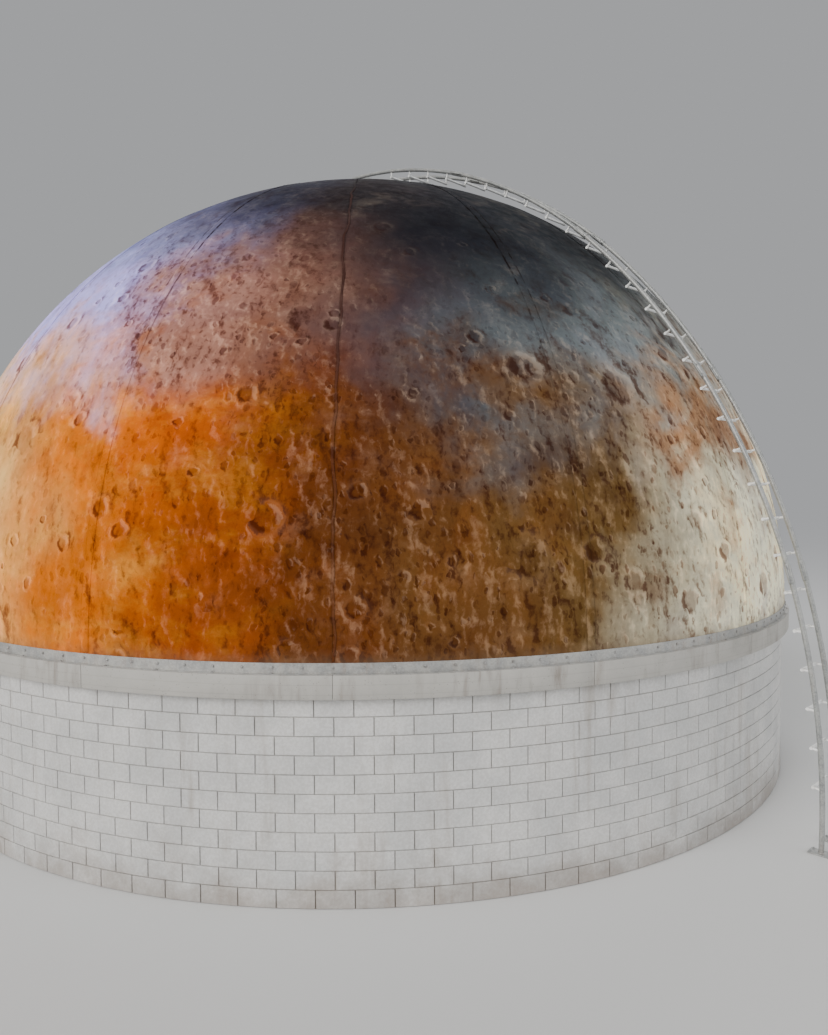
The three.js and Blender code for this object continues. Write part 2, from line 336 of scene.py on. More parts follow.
def front_direction(elevation):
    """The direction away from the dome's centre at bearing 0."""
    angle = math.radians(elevation)
    return Vector((0, -math.cos(angle), math.sin(angle)))


def facing(direction, place, up=UPWARDS):
    """A matrix that stands a piece made facing +Z at a place, facing a direction."""
    z = direction.normalized()
    x = up.cross(z).normalized()
    turn = Matrix((x, z.cross(x), z)).transposed().to_4x4()
    return Matrix.Translation(place) @ turn


def meridian(radius, elevation_from, elevation_to, points_per_degree=1):
    """An arc of a circle about the dome's centre, at bearing 0."""
    deselect_all()
    bpy.ops.mesh.primitive_circle_add(vertices=360 * points_per_degree, radius=radius,
                                      location=CENTRE, rotation=(0, math.pi / 2, 0))
    arc = bpy.context.object
    settle(arc)
    slack = 0.25 / points_per_degree

    def outside(vertex):
        elevation = math.degrees(math.atan2(vertex.co.z - SPRINGING, -vertex.co.y))
        return not elevation_from - slack <= elevation <= elevation_to + slack

    with editing(arc):
        pick(arc, "VERT", outside)
        bpy.ops.mesh.delete(type="VERT")
    return arc


def spin(steps, degrees):
    """Spins what is selected round the dome's axis, in edit mode."""
    bpy.ops.mesh.spin(steps=steps, angle=math.radians(degrees), center=(0, 0, 0), axis=(0, 0, 1))


def spin_round(steps):
    """Spins a whole section once round the dome's axis and closes it, in edit mode."""
    bpy.ops.mesh.select_all(action="SELECT")
    spin(steps, 360)
    bpy.ops.mesh.select_all(action="SELECT")
    bpy.ops.mesh.remove_doubles(threshold=MERGE_DISTANCE)


def thicken(skin, thickness, offset):
    """Turns an open skin's faces outwards and gives it a wall, outside (1) or inside (-1)."""
    with editing(skin):
        bpy.ops.mesh.normals_make_consistent(inside=False)
        mesh = bmesh.from_edit_mesh(skin.data)
        mesh.faces.ensure_lookup_table()
        face = mesh.faces[0]
        if face.normal.dot(face.calc_center_median() - CENTRE) < 0:
            bpy.ops.mesh.flip_normals()
    modify(skin, "SOLIDIFY", thickness=thickness, offset=offset, use_even_offset=True)


def seam_cover(sizes, width, height):
    """A flat strip that follows a seam from the shell's foot to its crown, at bearing 0."""
    bedded = 0.001
    strip = meridian(sizes.radius - bedded, 1, sizes.crown_elevation, 2)
    with editing(strip):
        bpy.ops.transform.translate(value=(-width / 2, 0, 0))
        bpy.ops.mesh.extrude_region_move(TRANSFORM_OT_translate={"value": (width, 0, 0)})
    thicken(strip, height + bedded, 1)
    return strip


def ring_section(inner, outer, bottom, top):
    """The four-sided section of a ring, at bearing 0, without its face."""
    deselect_all()
    bpy.ops.mesh.primitive_plane_add(size=1, location=(0, -(inner + outer) / 2, (bottom + top) / 2),
                                     rotation=(0, math.pi / 2, 0))
    section = bpy.context.object
    section.scale = (top - bottom, outer - inner, 1)
    settle(section)
    with editing(section):
        bpy.ops.mesh.delete(type="ONLY_FACE")
    return section


def ring(inner, outer, bottom, top, steps=192):
    """A closed ring with a four-sided section."""
    piece = ring_section(inner, outer, bottom, top)
    with editing(piece):
        spin_round(steps)
        bpy.ops.mesh.normals_make_consistent(inside=False)
    return piece


def bolt(radius, height, washer):
    """A six-sided bolt head on a round washer, standing on the origin and facing +Z."""
    washer_height = height * 0.25
    base = rod(radius * washer, washer_height, (0, 0, washer_height / 2), 12)
    head = rod(radius, height, (0, 0, height / 2), 6)
    with editing(head):
        pick(head, "FACE", lambda face: face.normal.z > 0.9)
        bpy.ops.mesh.inset(thickness=radius * 0.2, depth=radius * 0.15)
    return join([head, base])


def bolts_at(places, radius, height, washer=1.6):
    """One bolt head for each of several matrices."""
    pattern = bolt(radius, height, washer)
    heads = [copy_placed(pattern, place) for place in places]
    discard(pattern)
    return heads


def corners(x, y, z):
    """Matrices for the four corners of a rectangle about the origin, at a height."""
    return [Matrix.Translation((i * x, j * y, z)) for j in (-1, 1) for i in (-1, 1)]


# Node trees

class Nodes:
    """Adds nodes to a material or a node group and wires them."""

    def __init__(self, tree):
        self.tree = tree

    def add(self, kind, **settings):
        node = self.tree.nodes.new(kind)
        for name, value in settings.items():
            setattr(node, name, value)
        return node

    def feed(self, socket, source):
        if isinstance(source, bpy.types.NodeSocket):
            self.tree.links.new(source, socket)
        elif source is not None:
            socket.default_value = source

    def feed_all(self, node, **inputs):
        """Feeds sockets by name, with underscores for the blanks in their names."""
        for name, source in inputs.items():
            self.feed(node.inputs[name.replace("_", " ")], source)

    def math(self, operation, first, second=None, clamp=False):
        node = self.add("ShaderNodeMath", operation=operation, use_clamp=clamp)
        self.feed(node.inputs[0], first)
        self.feed(node.inputs[1], second)
        return node.outputs[0]

    def plus(self, first, second, clamp=False):
        return self.math("ADD", first, second, clamp)

    def minus(self, first, second):
        return self.math("SUBTRACT", first, second)

    def times(self, first, second, clamp=False):
        return self.math("MULTIPLY", first, second, clamp)

    def over(self, first, second):
        return self.math("DIVIDE", first, second)

    def larger(self, first, second):
        return self.math("MAXIMUM", first, second)

    def vector(self, operation, first, second=None, scale=None):
        node = self.add("ShaderNodeVectorMath", operation=operation)
        self.feed(node.inputs[0], first)
        self.feed(node.inputs[1], second)
        if scale is not None:
            self.feed(node.inputs["Scale"], scale)
        single = operation in {"DOT_PRODUCT", "LENGTH"}
        return node.outputs["Value"] if single else node.outputs["Vector"]

    def moved(self, place, by):
        return self.vector("ADD", place, by)

    def apart(self, place, other):
        return self.vector("SUBTRACT", place, other)

    def scaled(self, place, scale):
        return self.vector("SCALE", place, scale=scale)

    def stretched(self, place, factors):
        return self.vector("MULTIPLY", place, factors)

    def unit(self, direction):
        return self.vector("NORMALIZE", direction)

    def step(self, value, low, high, low_out=0.0, high_out=1.0):
        """A smooth step from one value to another as the input passes from low to high."""
        node = self.add("ShaderNodeMapRange", interpolation_type="SMOOTHSTEP")
        for socket, source in zip(node.inputs, (value, low, high, low_out, high_out)):
            self.feed(socket, source)
        return node.outputs[0]

    def noise(self, place, scale, detail=3.0, roughness=0.55, distortion=0.0, output="Fac"):
        node = self.add("ShaderNodeTexNoise")
        self.feed_all(node, Vector=place, Scale=scale, Detail=detail, Roughness=roughness,
                      Distortion=distortion)
        return node.outputs[output]

    def cells(self, place, scale, randomness=1.0):
        node = self.add("ShaderNodeTexVoronoi", voronoi_dimensions="3D", feature="F1")
        self.feed_all(node, Vector=place, Scale=scale, Randomness=randomness)
        return node.outputs

    def mix(self, factor, first, second, blend="MIX"):
        node = self.add("ShaderNodeMix", data_type="RGBA", blend_type=blend)
        self.feed(node.inputs[0], factor)
        self.feed(node.inputs[6], rgba(first))
        self.feed(node.inputs[7], rgba(second))
        return node.outputs[2]

    def tinted(self, factor, shade, tint):
        """A colour that is multiplied by a tint where the factor says so."""
        return self.mix(factor, shade, tint, "MULTIPLY")

    def toned(self, factor, shade, tint, share, other):
        """A colour that is tinted and has a share of another where the factor says so."""
        return self.mix(factor, shade, self.mix(share, self.tinted(1.0, shade, tint), other))

    def patchy(self, grain, low=0.0, high=1.0):
        """A number that goes from one value to another with a grain or noise."""
        return self.step(grain, 0.3, 0.7, low, high)

    def ramp(self, value, stops):
        """Colours or numbers along 0 to 1; stops are (position, colour or number)."""
        node = self.add("ShaderNodeValToRGB")
        self.feed(node.inputs[0], value)
        elements = node.color_ramp.elements
        while len(elements) < len(stops):
            elements.new(0.5)
        for element, (position, shade) in zip(elements, stops):
            element.position = position
            element.color = rgba((shade,) * 3 if isinstance(shade, (int, float)) else shade)
        return node.outputs[0]

    def combine(self, x, y, z):
        node = self.add("ShaderNodeCombineXYZ")
        for socket, source in zip(node.inputs, (x, y, z)):
            self.feed(socket, source)
        return node.outputs[0]

    def separate(self, place):
        node = self.add("ShaderNodeSeparateXYZ")
        self.feed(node.inputs[0], place)
        return node.outputs

    def group(self, tree, **inputs):
        node = self.add("ShaderNodeGroup", node_tree=tree)
        self.feed_all(node, **inputs)
        return node.outputs


def rgba(shade):
    """A colour of three numbers gets its fourth; anything else is left as it is."""
    if isinstance(shade, bpy.types.NodeSocket) or shade is None:
        return shade
    return (*tuple(shade)[:3], 1.0)


SOCKET_KINDS = {"number": "NodeSocketFloat", "place": "NodeSocketVector", "colour": "NodeSocketColor"}


def new_group(name, inputs, outputs):
    """A node group; returns its nodes, its input sockets by name and a call that sets an output."""
    tree = bpy.data.node_groups.new(name, "ShaderNodeTree")
    for direction, sockets in (("INPUT", inputs), ("OUTPUT", outputs)):
        for label, kind in sockets.items():
            tree.interface.new_socket(label, in_out=direction, socket_type=SOCKET_KINDS[kind])
    nodes = Nodes(tree)
    entry = nodes.add("NodeGroupInput")
    leave = nodes.add("NodeGroupOutput")

    def put(label, source):
        nodes.feed(leave.inputs[label], source)

    return nodes, entry.outputs, put


# How the painted light falls on painted relief: from the left and a little from below
LIGHT_EAST = -0.86
LIGHT_UP = -0.5


@cache
def dome_axes_group():
    """Directions and angles on the dome at a place given from its centre."""
    nodes, given, put = new_group(
        "dome_axes",
        {"Place": "place"},
        {"Outward": "place", "Light": "place", "Elevation": "number", "Bearing": "number",
         "Plan Radius": "number"},
    )
    outward_axis = nodes.unit(given["Place"])
    east = nodes.unit(nodes.vector("CROSS_PRODUCT", UPWARDS, outward_axis))
    up = nodes.vector("CROSS_PRODUCT", outward_axis, east)
    x, y, z = nodes.separate(given["Place"])
    plan = nodes.math("SQRT", nodes.plus(nodes.times(x, x), nodes.times(y, y)))
    put("Outward", outward_axis)
    put("Light", nodes.moved(nodes.scaled(east, LIGHT_EAST), nodes.scaled(up, LIGHT_UP)))
    put("Elevation", nodes.over(nodes.math("ARCTAN2", z, plan), math.pi / 2))
    put("Bearing", nodes.math("ARCTAN2", x, nodes.times(y, -1.0)))
    put("Plan Radius", plan)
    return nodes.tree


# A painted crater from its middle (0) over its rim (0.5) and outwards: the slope of the ground, where
# 0.5 is level, then how much of the rim's and of the floor's own tone shows
CRATER_SLOPE = [(0.0, 0.5), (0.22, 0.54), (0.36, 0.98), (0.46, 0.72), (0.5, 0.5), (0.56, 0.26),
                (0.74, 0.42), (0.94, 0.5)]
CRATER_RIM = [(0.36, 0.0), (0.48, 1.0), (0.54, 0.55), (0.72, 0.0)]
CRATER_FLOOR = [(0.3, 1.0), (0.44, 0.0)]

CRATER_SCATTER = 0.85
# How much smaller a crater is whose middle lies off the surface, and the share of its radius below
# which it is left out
CRATER_SHRINK = 0.45
CRATER_LEAST_SHARE = 0.3


@cache
def crater_layer_group():
    """One size of painted craters: how light or dark each place is, with its rims and floors."""
    nodes, given, put = new_group(
        "crater_layer",
        {"Place": "place", "Outward": "place", "Light": "place", "Cell": "number", "Smallest": "number",
         "Largest": "number", "Presence": "number", "Seed": "number"},
        {"Shade": "number", "Rim": "number", "Floor": "number"},
    )
    seed = given["Seed"]
    shift = nodes.combine(seed, nodes.times(seed, 1.7), nodes.times(seed, 2.3))
    grid = nodes.moved(nodes.scaled(given["Place"], nodes.over(1.0, given["Cell"])), shift)
    nearest = nodes.cells(grid, 1.0, CRATER_SCATTER)
    middle = nodes.scaled(nodes.apart(nearest["Position"], shift), given["Cell"])
    offset = nodes.apart(given["Place"], middle)
    depth = nodes.vector("DOT_PRODUCT", offset, given["Outward"])
    across = nodes.apart(offset, nodes.scaled(given["Outward"], depth))
    distance = nodes.vector("LENGTH", across)

    # Each crater's own chances give its radius, whether it is there, and how dark its floor is
    chance = nodes.separate(nearest["Color"])
    spread = nodes.minus(given["Largest"], given["Smallest"])
    radius = nodes.plus(given["Smallest"], nodes.times(spread, nodes.math("POWER", chance[0], 2.0)))
    sunk = nodes.math("POWER", nodes.times(depth, CRATER_SHRINK), 2.0)
    cut = nodes.minus(nodes.times(radius, radius), sunk)
    reach = nodes.math("SQRT", nodes.larger(cut, 1e-7))
    whole = nodes.math("GREATER_THAN", nodes.over(reach, radius), CRATER_LEAST_SHARE)
    present = nodes.times(whole, nodes.math("LESS_THAN", chance[1], given["Presence"]))

    run = nodes.over(nodes.over(distance, reach), 2.0)
    steep = nodes.times(nodes.minus(nodes.ramp(run, CRATER_SLOPE), 0.5), -2.0)
    towards = nodes.vector("DOT_PRODUCT", nodes.unit(across), given["Light"])
    put("Shade", nodes.times(nodes.times(steep, towards), present))
    put("Rim", nodes.times(nodes.ramp(run, CRATER_RIM), present))
    deepness = nodes.times(nodes.step(chance[2], 0.0, 0.8, 0.4, 1.0), present)
    put("Floor", nodes.times(nodes.ramp(run, CRATER_FLOOR), deepness))
    return nodes.tree


@cache
def seam_distance_group():
    """How far a place on the shell is from the nearest seam, and whether that seam has a strip."""
    nodes, given, put = new_group(
        "seam_distance",
        {"Bearing": "number", "Plan Radius": "number"},
        {"Distance": "number", "Covered": "number"},
    )
    bays = nodes.over(given["Bearing"], math.radians(BAY))
    nearest = nodes.math("ROUND", bays)
    away = nodes.times(nodes.minus(bays, nearest), math.radians(BAY))
    put("Distance", nodes.times(nodes.math("SINE", away), given["Plan Radius"]))
    put("Covered", nodes.math("PINGPONG", nearest, 1.0))
    return nodes.tree


@cache
def grain_group():
    """Fine unevenness for roughness and bump, and a broad mottling."""
    nodes, given, put = new_group(
        "surface_grain",
        {"Place": "place", "Fine Scale": "number", "Broad Scale": "number"},
        {"Fine": "number", "Broad": "number"},
    )
    put("Fine", nodes.noise(given["Place"], given["Fine Scale"], 3.0, 0.6))
    put("Broad", nodes.noise(given["Place"], given["Broad Scale"], 4.0, 0.6))
    return nodes.tree


@cache
def streak_group():
    """Stains that have run down a surface; Stretch draws them out."""
    nodes, given, put = new_group(
        "run_down_stains",
        {"Place": "place", "Scale": "number", "Stretch": "number", "Amount": "number"},
        {"Stain": "number"},
    )
    x, y, z = nodes.separate(given["Place"])
    drawn = nodes.combine(x, y, nodes.over(z, given["Stretch"]))
    fine = nodes.noise(drawn, given["Scale"], 4.0, 0.65, 0.4)
    cover = nodes.noise(given["Place"], nodes.times(given["Scale"], 0.12), 3.0)
    joined = nodes.times(nodes.step(fine, 0.46, 0.74), nodes.step(cover, 0.38, 0.66))
    put("Stain", nodes.times(joined, given["Amount"], clamp=True))
    return nodes.tree


# The painted ground's colours from left (0) to right (1), low and high on the dome, with painted light on
# the far left and far right and painted shade at the front
LOW_ZONES = [(0.14, "low_gold"), (0.27, "low_orange"), (0.37, "low_rust"), (0.5, "low_umber"),
             (0.69, "low_tan"), (0.88, "low_cream")]
HIGH_ZONES = [(0.29, "high_lilac"), (0.36, "high_pink"), (0.44, "high_brown"), (0.54, "high_mauve"),
              (0.62, "high_slate"), (0.75, "high_grey"), (0.88, "high_pale")]

# How densely it is pitted: most in the brown and tan ground, least in the lilac and orange
LOW_PITTING = [(0.14, 0.4), (0.3, 0.5), (0.5, 0.8), (0.66, 1.0), (0.86, 0.75)]
HIGH_PITTING = [(0.25, 0.3), (0.35, 0.95), (0.43, 1.0), (0.53, 0.2), (0.7, 0.7), (0.88, 0.85)]

# The direction in which the crown's painted shade is darkest
CROWN_SHADE_DIRECTION = Vector((0.16, -0.32, 0.93)).normalized()


class CraterSize(NamedTuple):
    """Painted craters of one size, with how strongly their slopes, rims and floors show."""
    cell: float
    smallest: float
    largest: float
    presence: float
    seed: float
    slopes: float
    rims: float
    floors: float


CRATER_SIZES = [
    CraterSize(1.2, 0.13, 0.30, 0.85, 3.1, 1.0, 0.3, 0.6),
    CraterSize(0.62, 0.06, 0.14, 0.78, 7.4, 1.0, 0.2, 0.7),
    CraterSize(0.18, 0.03, 0.062, 0.9, 12.9, 0.5, 0.0, 1.0),
    CraterSize(0.12, 0.018, 0.036, 0.8, 21.7, 0.25, 0.0, 0.9),
]

# Craters in smaller cells than this are pits, which follow the pitting and are drawn out upwards
LARGEST_PIT_CELL = 0.5
PIT_DRAW = 1.7

# Rough ground between the craters: scale of the noise, how far apart its two readings are
ROUGH_LAYERS = [(1.7, 0.05), (5.5, 0.02)]
ROUGH_DETAIL = 4.0
ROUGH_STRENGTH = 3.4

# Tones that the ground is multiplied by, on the low and on the high ground where there are two
BOUNDARY_LIGHT = (1.0, 0.57, 0.36)
CLOUD_DARK = (0.62, 0.6, 0.72)
CLOUD_LIGHT = ((1.45, 1.25, 1.0), (1.3, 1.24, 1.3))
MOTTLE_DARK = (0.58, 0.38, 0.3)
MOTTLE_LIGHT = (1.4, 1.4, 1.4)
FLOOR_DARK = ((0.38, 0.22, 0.18), (0.36, 0.28, 0.31))
SLOPE_DARK = (0.34, 0.2, 0.17)
SLOPE_LIGHT = (1.6, 1.55, 1.5)


class GroundPaint:
    """The painted ground's layers, and the measures that they share."""

    def __init__(self, nodes, place):
        self.nodes = nodes
        self.place = place
        self.paint = bpy.context.scene.dome_paint
        self.axes = nodes.group(dome_axes_group(), Place=place)
        self.light = self.axes["Light"]
        self.elevation = self.axes["Elevation"]

        # From left (0) to right (1), straying most at the back; the high zones lean over the low ones
        places = nodes.separate(place)
        self.backwards = places[1]
        drift = nodes.minus(nodes.noise(place, 0.5, 5.0, 0.6), 0.5)
        stray = nodes.step(self.backwards, -3.0, 2.5, 0.24, 1.05)
        level_side = nodes.plus(nodes.over(places[0], 2 * DOME_RADIUS), 0.5)
        self.side = nodes.plus(level_side, nodes.times(drift, stray))
        self.lean = nodes.times(nodes.minus(self.elevation, 0.35), 0.1)
        self.high_side = nodes.minus(self.side, self.lean)

        # Where the high ground starts, with a ragged edge, and how near a place is to the crown's painted
        # shade
        self.ragged = nodes.minus(nodes.noise(place, 0.85, 6.0, 0.58, 0.5), 0.5)
        height = nodes.plus(self.elevation, nodes.times(self.ragged, 0.4))
        height = nodes.minus(height, nodes.step(self.side, 0.46, 0.2, -0.025, 0.055))
        self.is_high = nodes.step(height, 0.19, 0.38)
        crown_shade = nodes.vector("DOT_PRODUCT", self.axes["Outward"], CROWN_SHADE_DIRECTION)
        self.crown_shade = nodes.plus(crown_shade, nodes.times(self.ragged, 0.1))

        self.pitting = nodes.mix(self.is_high, nodes.ramp(self.side, LOW_PITTING),
                                 nodes.ramp(self.high_side, HIGH_PITTING))

    def zone_ramp(self, side, zones):
        return self.nodes.ramp(side, [(position, getattr(self.paint, name)) for position, name in zones])

    def patches(self, shift, scale, detail, *more):
        """Noise that is moved, so that it doesn't follow the other noises."""
        return self.nodes.noise(self.nodes.moved(self.place, shift), scale, detail, *more)

    def zones(self):
        """Broad colour zones with painted light and shade from left to right, and blotches of the low
        colour that reach up.
        """
        nodes = self.nodes
        veins = nodes.noise(nodes.stretched(self.place, (0.9, 0.9, 1.6)), 1.1, 6.0, 0.7)
        veins = nodes.times(nodes.step(veins, 0.44, 0.74), nodes.step(self.side, 0.55, 0.3))
        low = nodes.mix(nodes.times(veins, 0.45), self.zone_ramp(self.side, LOW_ZONES),
                        self.paint.low_amber)
        ground = nodes.mix(self.is_high, low, self.zone_ramp(self.high_side, HIGH_ZONES))
        blotch = nodes.times(nodes.step(self.patches((4.0, 9.0, 2.0), 1.3, 5.0, 0.6), 0.52, 0.7),
                             nodes.step(self.elevation, 0.6, 0.3))
        return nodes.mix(nodes.times(blotch, 0.6), ground, low)

    def haze_and_crown(self, ground):
        """The blue grey haze on the left and the crown's painted shade, which reach down."""
        nodes = self.nodes
        haze_side = nodes.minus(self.side, nodes.times(self.lean, 4.0))
        haze_height = nodes.plus(self.elevation, nodes.times(self.ragged, 0.2))
        haze = nodes.times(nodes.step(haze_height, 0.44, 0.53, 0.0, 0.78),
                           nodes.step(haze_side, 0.38, 0.3))
        ground = nodes.mix(haze, ground, self.paint.high_haze)
        # Painted shade: the ground darkens to the crown's slate
        return nodes.mix(nodes.step(self.crown_shade, 0.715, 0.945, 0.0, 0.94), ground, self.paint.crown)

    def boundary(self, ground):
        """Between low and high, a cream band on the light side and russet patches on the right."""
        nodes = self.nodes
        between = nodes.times(self.is_high, nodes.minus(1.0, self.is_high))
        cream = nodes.times(between, nodes.step(self.side, 0.4, 0.2, 0.0, 1.5))
        ground = nodes.mix(cream, ground, BOUNDARY_LIGHT)
        patches = nodes.plus(self.patches((2.0, 6.0, 1.0), 0.5, 4.0),
                             nodes.step(self.backwards, -2.0, -5.0, 0.0, 0.13))
        russet = nodes.times(nodes.step(self.side, 0.66, 0.8, 0.0, 3.4), nodes.step(patches, 0.43, 0.57))
        return nodes.mix(nodes.times(between, russet), ground, self.paint.low_russet)

    def clouding(self, ground):
        """Dark and light clouds, and a finer mottling where the ground is pitted."""
        nodes = self.nodes
        cloud = self.patches((7.0, 3.0, 5.0), 0.75, 6.0, 0.62, 0.5)
        ground = nodes.tinted(nodes.step(cloud, 0.52, 0.34, 0.0, 0.6), ground, CLOUD_DARK)
        ground = nodes.tinted(nodes.step(cloud, 0.5, 0.68, 0.0, 0.6), ground,
                              nodes.mix(self.is_high, *CLOUD_LIGHT))
        mottling = nodes.step(self.pitting, 0.1, 0.6, 0.35, 1.0)
        mottle = nodes.noise(self.place, 1.9, 6.0, 0.66, 0.4)
        dark = nodes.times(nodes.step(mottle, 0.5, 0.3, 0.0, 0.55), mottling)
        light = nodes.times(nodes.step(mottle, 0.52, 0.74, 0.0, 0.5), mottling)
        ground = nodes.tinted(dark, ground, MOTTLE_DARK)
        return nodes.toned(light, ground, MOTTLE_LIGHT, 0.1, self.paint.light)

    def warped(self, place, scale, detail, roughness, amount):
        """A place that is bent a little, so that no rim is a true circle."""
        nodes = self.nodes
        noise = nodes.noise(self.place, scale, detail, roughness, output="Color")
        return nodes.moved(place, nodes.scaled(nodes.apart(noise, (0.5, 0.5, 0.5)), amount))

    def relief(self):
        """The shading of the craters, pits and rough ground, with the craters' rims and floors."""
        nodes = self.nodes
        bent = self.warped(self.warped(self.place, 5.5, 3.0, 0.55, 0.1), 15.0, 2.0, 0.6, 0.055)
        drawn = nodes.stretched(bent, (1, 1, 1 / PIT_DRAW))
        drawn_outward = nodes.unit(nodes.stretched(self.axes["Outward"], (1, 1, PIT_DRAW)))
        crowd = nodes.step(nodes.noise(self.place, 1.1, 3.0), 0.36, 0.62, 0.4, 1.4)
        shade = rim = floor = 0.0
        for size in CRATER_SIZES:
            is_pit = size.cell < LARGEST_PIT_CELL
            weight = self.pitting if is_pit else 1.0
            layer = nodes.group(crater_layer_group(), Place=drawn if is_pit else bent,
                                Outward=drawn_outward if is_pit else self.axes["Outward"],
                                Light=self.light, Cell=size.cell, Smallest=size.smallest,
                                Largest=size.largest, Presence=nodes.times(crowd, size.presence),
                                Seed=size.seed)
            shade = nodes.plus(shade, nodes.times(nodes.times(layer["Shade"], weight), size.slopes))
            rim = nodes.larger(rim, nodes.times(layer["Rim"], size.rims))
            floor = nodes.larger(floor, nodes.times(nodes.times(layer["Floor"], weight), size.floors))

        roughness = nodes.times(nodes.plus(nodes.times(self.pitting, 0.8), 0.2), ROUGH_STRENGTH)
        for scale, reach in ROUGH_LAYERS:
            lead = nodes.scaled(self.light, reach)
            ahead = nodes.noise(nodes.moved(drawn, lead), scale, ROUGH_DETAIL, 0.62)
            behind = nodes.noise(nodes.apart(drawn, lead), scale, ROUGH_DETAIL, 0.62)
            shade = nodes.plus(shade, nodes.times(nodes.minus(behind, ahead), roughness))
        return shade, rim, floor

    def cratered(self, ground):
        """The ground with its relief painted on, fainter in the crown's painted shade."""
        nodes = self.nodes
        shade, rim, floor = self.relief()
        fade = nodes.step(self.crown_shade, 0.74, 0.94, 1.0, 0.3)
        ground = nodes.tinted(nodes.times(floor, nodes.times(fade, 0.78)), ground,
                              nodes.mix(self.is_high, *FLOOR_DARK))
        dark = nodes.times(nodes.step(shade, -0.02, -0.7), fade)
        bright = nodes.times(nodes.larger(nodes.step(shade, 0.04, 0.8), rim),
                             nodes.math("POWER", fade, 1.5))
        ground = nodes.toned(nodes.times(dark, 0.85), ground, SLOPE_DARK, 0.35, self.paint.shadow)
        return nodes.toned(nodes.times(bright, 0.75), ground, SLOPE_LIGHT, 0.14, self.paint.light)


@cache
def ground_paint_group():
    """The colour of the painted cratered ground, at a place given from the centre."""
    nodes, given, put = new_group("cratered_ground", {"Place": "place"}, {"Colour": "colour"})
    layers = GroundPaint(nodes, given["Place"])
    ground = layers.zones()
    for lay in (layers.haze_and_crown, layers.boundary, layers.clouding, layers.cratered):
        ground = lay(ground)
    put("Colour", ground)
    return nodes.tree


# Materials

class Finish(Nodes):
    """A material on its Principled shader, with the place on the piece that it covers."""

    def __init__(self, name):
        self.material = bpy.data.materials.new(name)
        self.material.use_nodes = True
        super().__init__(self.material.node_tree)
        self.shader = self.tree.nodes["Principled BSDF"]
        self.place = self.add("ShaderNodeTexCoord").outputs["Object"]

    def surface(self, shade, roughness, specular=None):
        self.feed_all(self.shader, Base_Color=shade, Roughness=roughness, Specular_IOR_Level=specular)

    def bump(self, height, strength, distance):
        node = self.add("ShaderNodeBump")
        self.feed_all(node, Strength=strength, Distance=distance, Height=height)
        self.feed(self.shader.inputs["Normal"], node.outputs["Normal"])

    def grain(self, fine_scale, broad_scale):
        outputs = self.group(grain_group(), Place=self.place, Fine_Scale=fine_scale,
                             Broad_Scale=broad_scale)
        return outputs["Fine"], outputs["Broad"]

    def stain(self, scale, stretch, amount):
        return self.group(streak_group(), Place=self.place, Scale=scale, Stretch=stretch,
                          Amount=amount)["Stain"]

    def height(self, place):
        return self.separate(place)[2]


STRIP_EDGE_OFFSET = 0.006
# Dark strip edges: painted shade where a strip stands proud, together with dirt
SEAM_SHADOW = (0.24, 0.17, 0.15)
SEAM_DIRT_AND_SHADE = (0.02, 0.012, 0.010)
SHELL_STAIN = (0.5, 0.44, 0.4)
FOOT_DIRT = (0.16, 0.105, 0.065)


@cache
def shell_paint():
    """The painted ground on the gores, with dirt and painted shade along the seams, run-down stains and a
    soiled foot.
    """
    finish = Finish("cratered_shell_paint")
    from_centre = finish.apart(finish.place, CENTRE)
    axes = finish.group(dome_axes_group(), Place=from_centre)
    ground = finish.group(ground_paint_group(), Place=from_centre)["Colour"]
    seam = finish.group(seam_distance_group(), Bearing=axes["Bearing"], Plan_Radius=axes["Plan Radius"])

    # Broken dark lines along a strip's two edges, painted shade at its raised edges together with dirt,
    # each with its own breaks, and faint ones by a seal
    strip_half = bpy.context.scene.dome_shell.strip_width / 2 + STRIP_EDGE_OFFSET
    uneven = finish.noise(finish.place, 7.0, 3.0, 0.6)
    ragged = finish.plus(finish.math("ABSOLUTE", seam["Distance"]),
                         finish.times(finish.minus(uneven, 0.5), 0.03))
    edge = finish.math("ABSOLUTE", finish.minus(ragged, strip_half))
    strip_edge = finish.times(finish.step(edge, 0.016, 0.006), seam["Covered"])
    other_side = finish.scaled((3.7, 1.3, 2.1), finish.math("SIGN", seam["Distance"]))
    broken = finish.step(finish.noise(finish.moved(finish.place, other_side), 4.6, 2.0), 0.41, 0.52)
    upper = finish.step(axes["Elevation"], 0.28, 0.5, 0.15, 1.0)
    strip_line = finish.times(strip_edge, finish.times(broken, upper))
    seal_edge = finish.times(finish.step(ragged, 0.035, 0.01), finish.minus(1.0, seam["Covered"]))
    seam_shade_and_dirt = finish.plus(finish.times(strip_line, 0.9), finish.times(seal_edge, 0.2), clamp=True)

    stain = finish.group(streak_group(), Place=from_centre, Scale=3.4, Stretch=9.0, Amount=0.42)["Stain"]
    foot = finish.step(finish.plus(finish.height(from_centre), finish.times(uneven, 0.25)), 0.42, 0.1,
                       0.0, 0.6)
    shade = finish.mix(foot, finish.tinted(stain, ground, SHELL_STAIN), FOOT_DIRT)
    # Painted shade and dirt darken the seams
    shade = finish.toned(seam_shade_and_dirt, shade, SEAM_SHADOW, 0.3, SEAM_DIRT_AND_SHADE)
    finish.surface(shade, finish.patchy(uneven, 0.58, 0.8), 0.012)

    fine = finish.grain(70.0, 2.5)[0]
    ripples = finish.noise(finish.place, 11.0, 2.0, 0.6)
    finish.bump(finish.plus(fine, finish.times(ripples, 2.0)), 0.25, 0.004)
    return finish.material


@cache
def shell_lining():
    """Bare moulded lining inside the shell."""
    finish = Finish("shell_lining")
    fine, broad = finish.grain(55.0, 1.4)
    tone = finish.mix(broad, (0.42, 0.41, 0.37), (0.56, 0.55, 0.5))
    finish.surface(finish.mix(finish.step(fine, 0.6, 0.75, 0.0, 0.25), tone, (0.3, 0.28, 0.24)), 0.62)
    finish.bump(fine, 0.35, 0.003)
    return finish.material


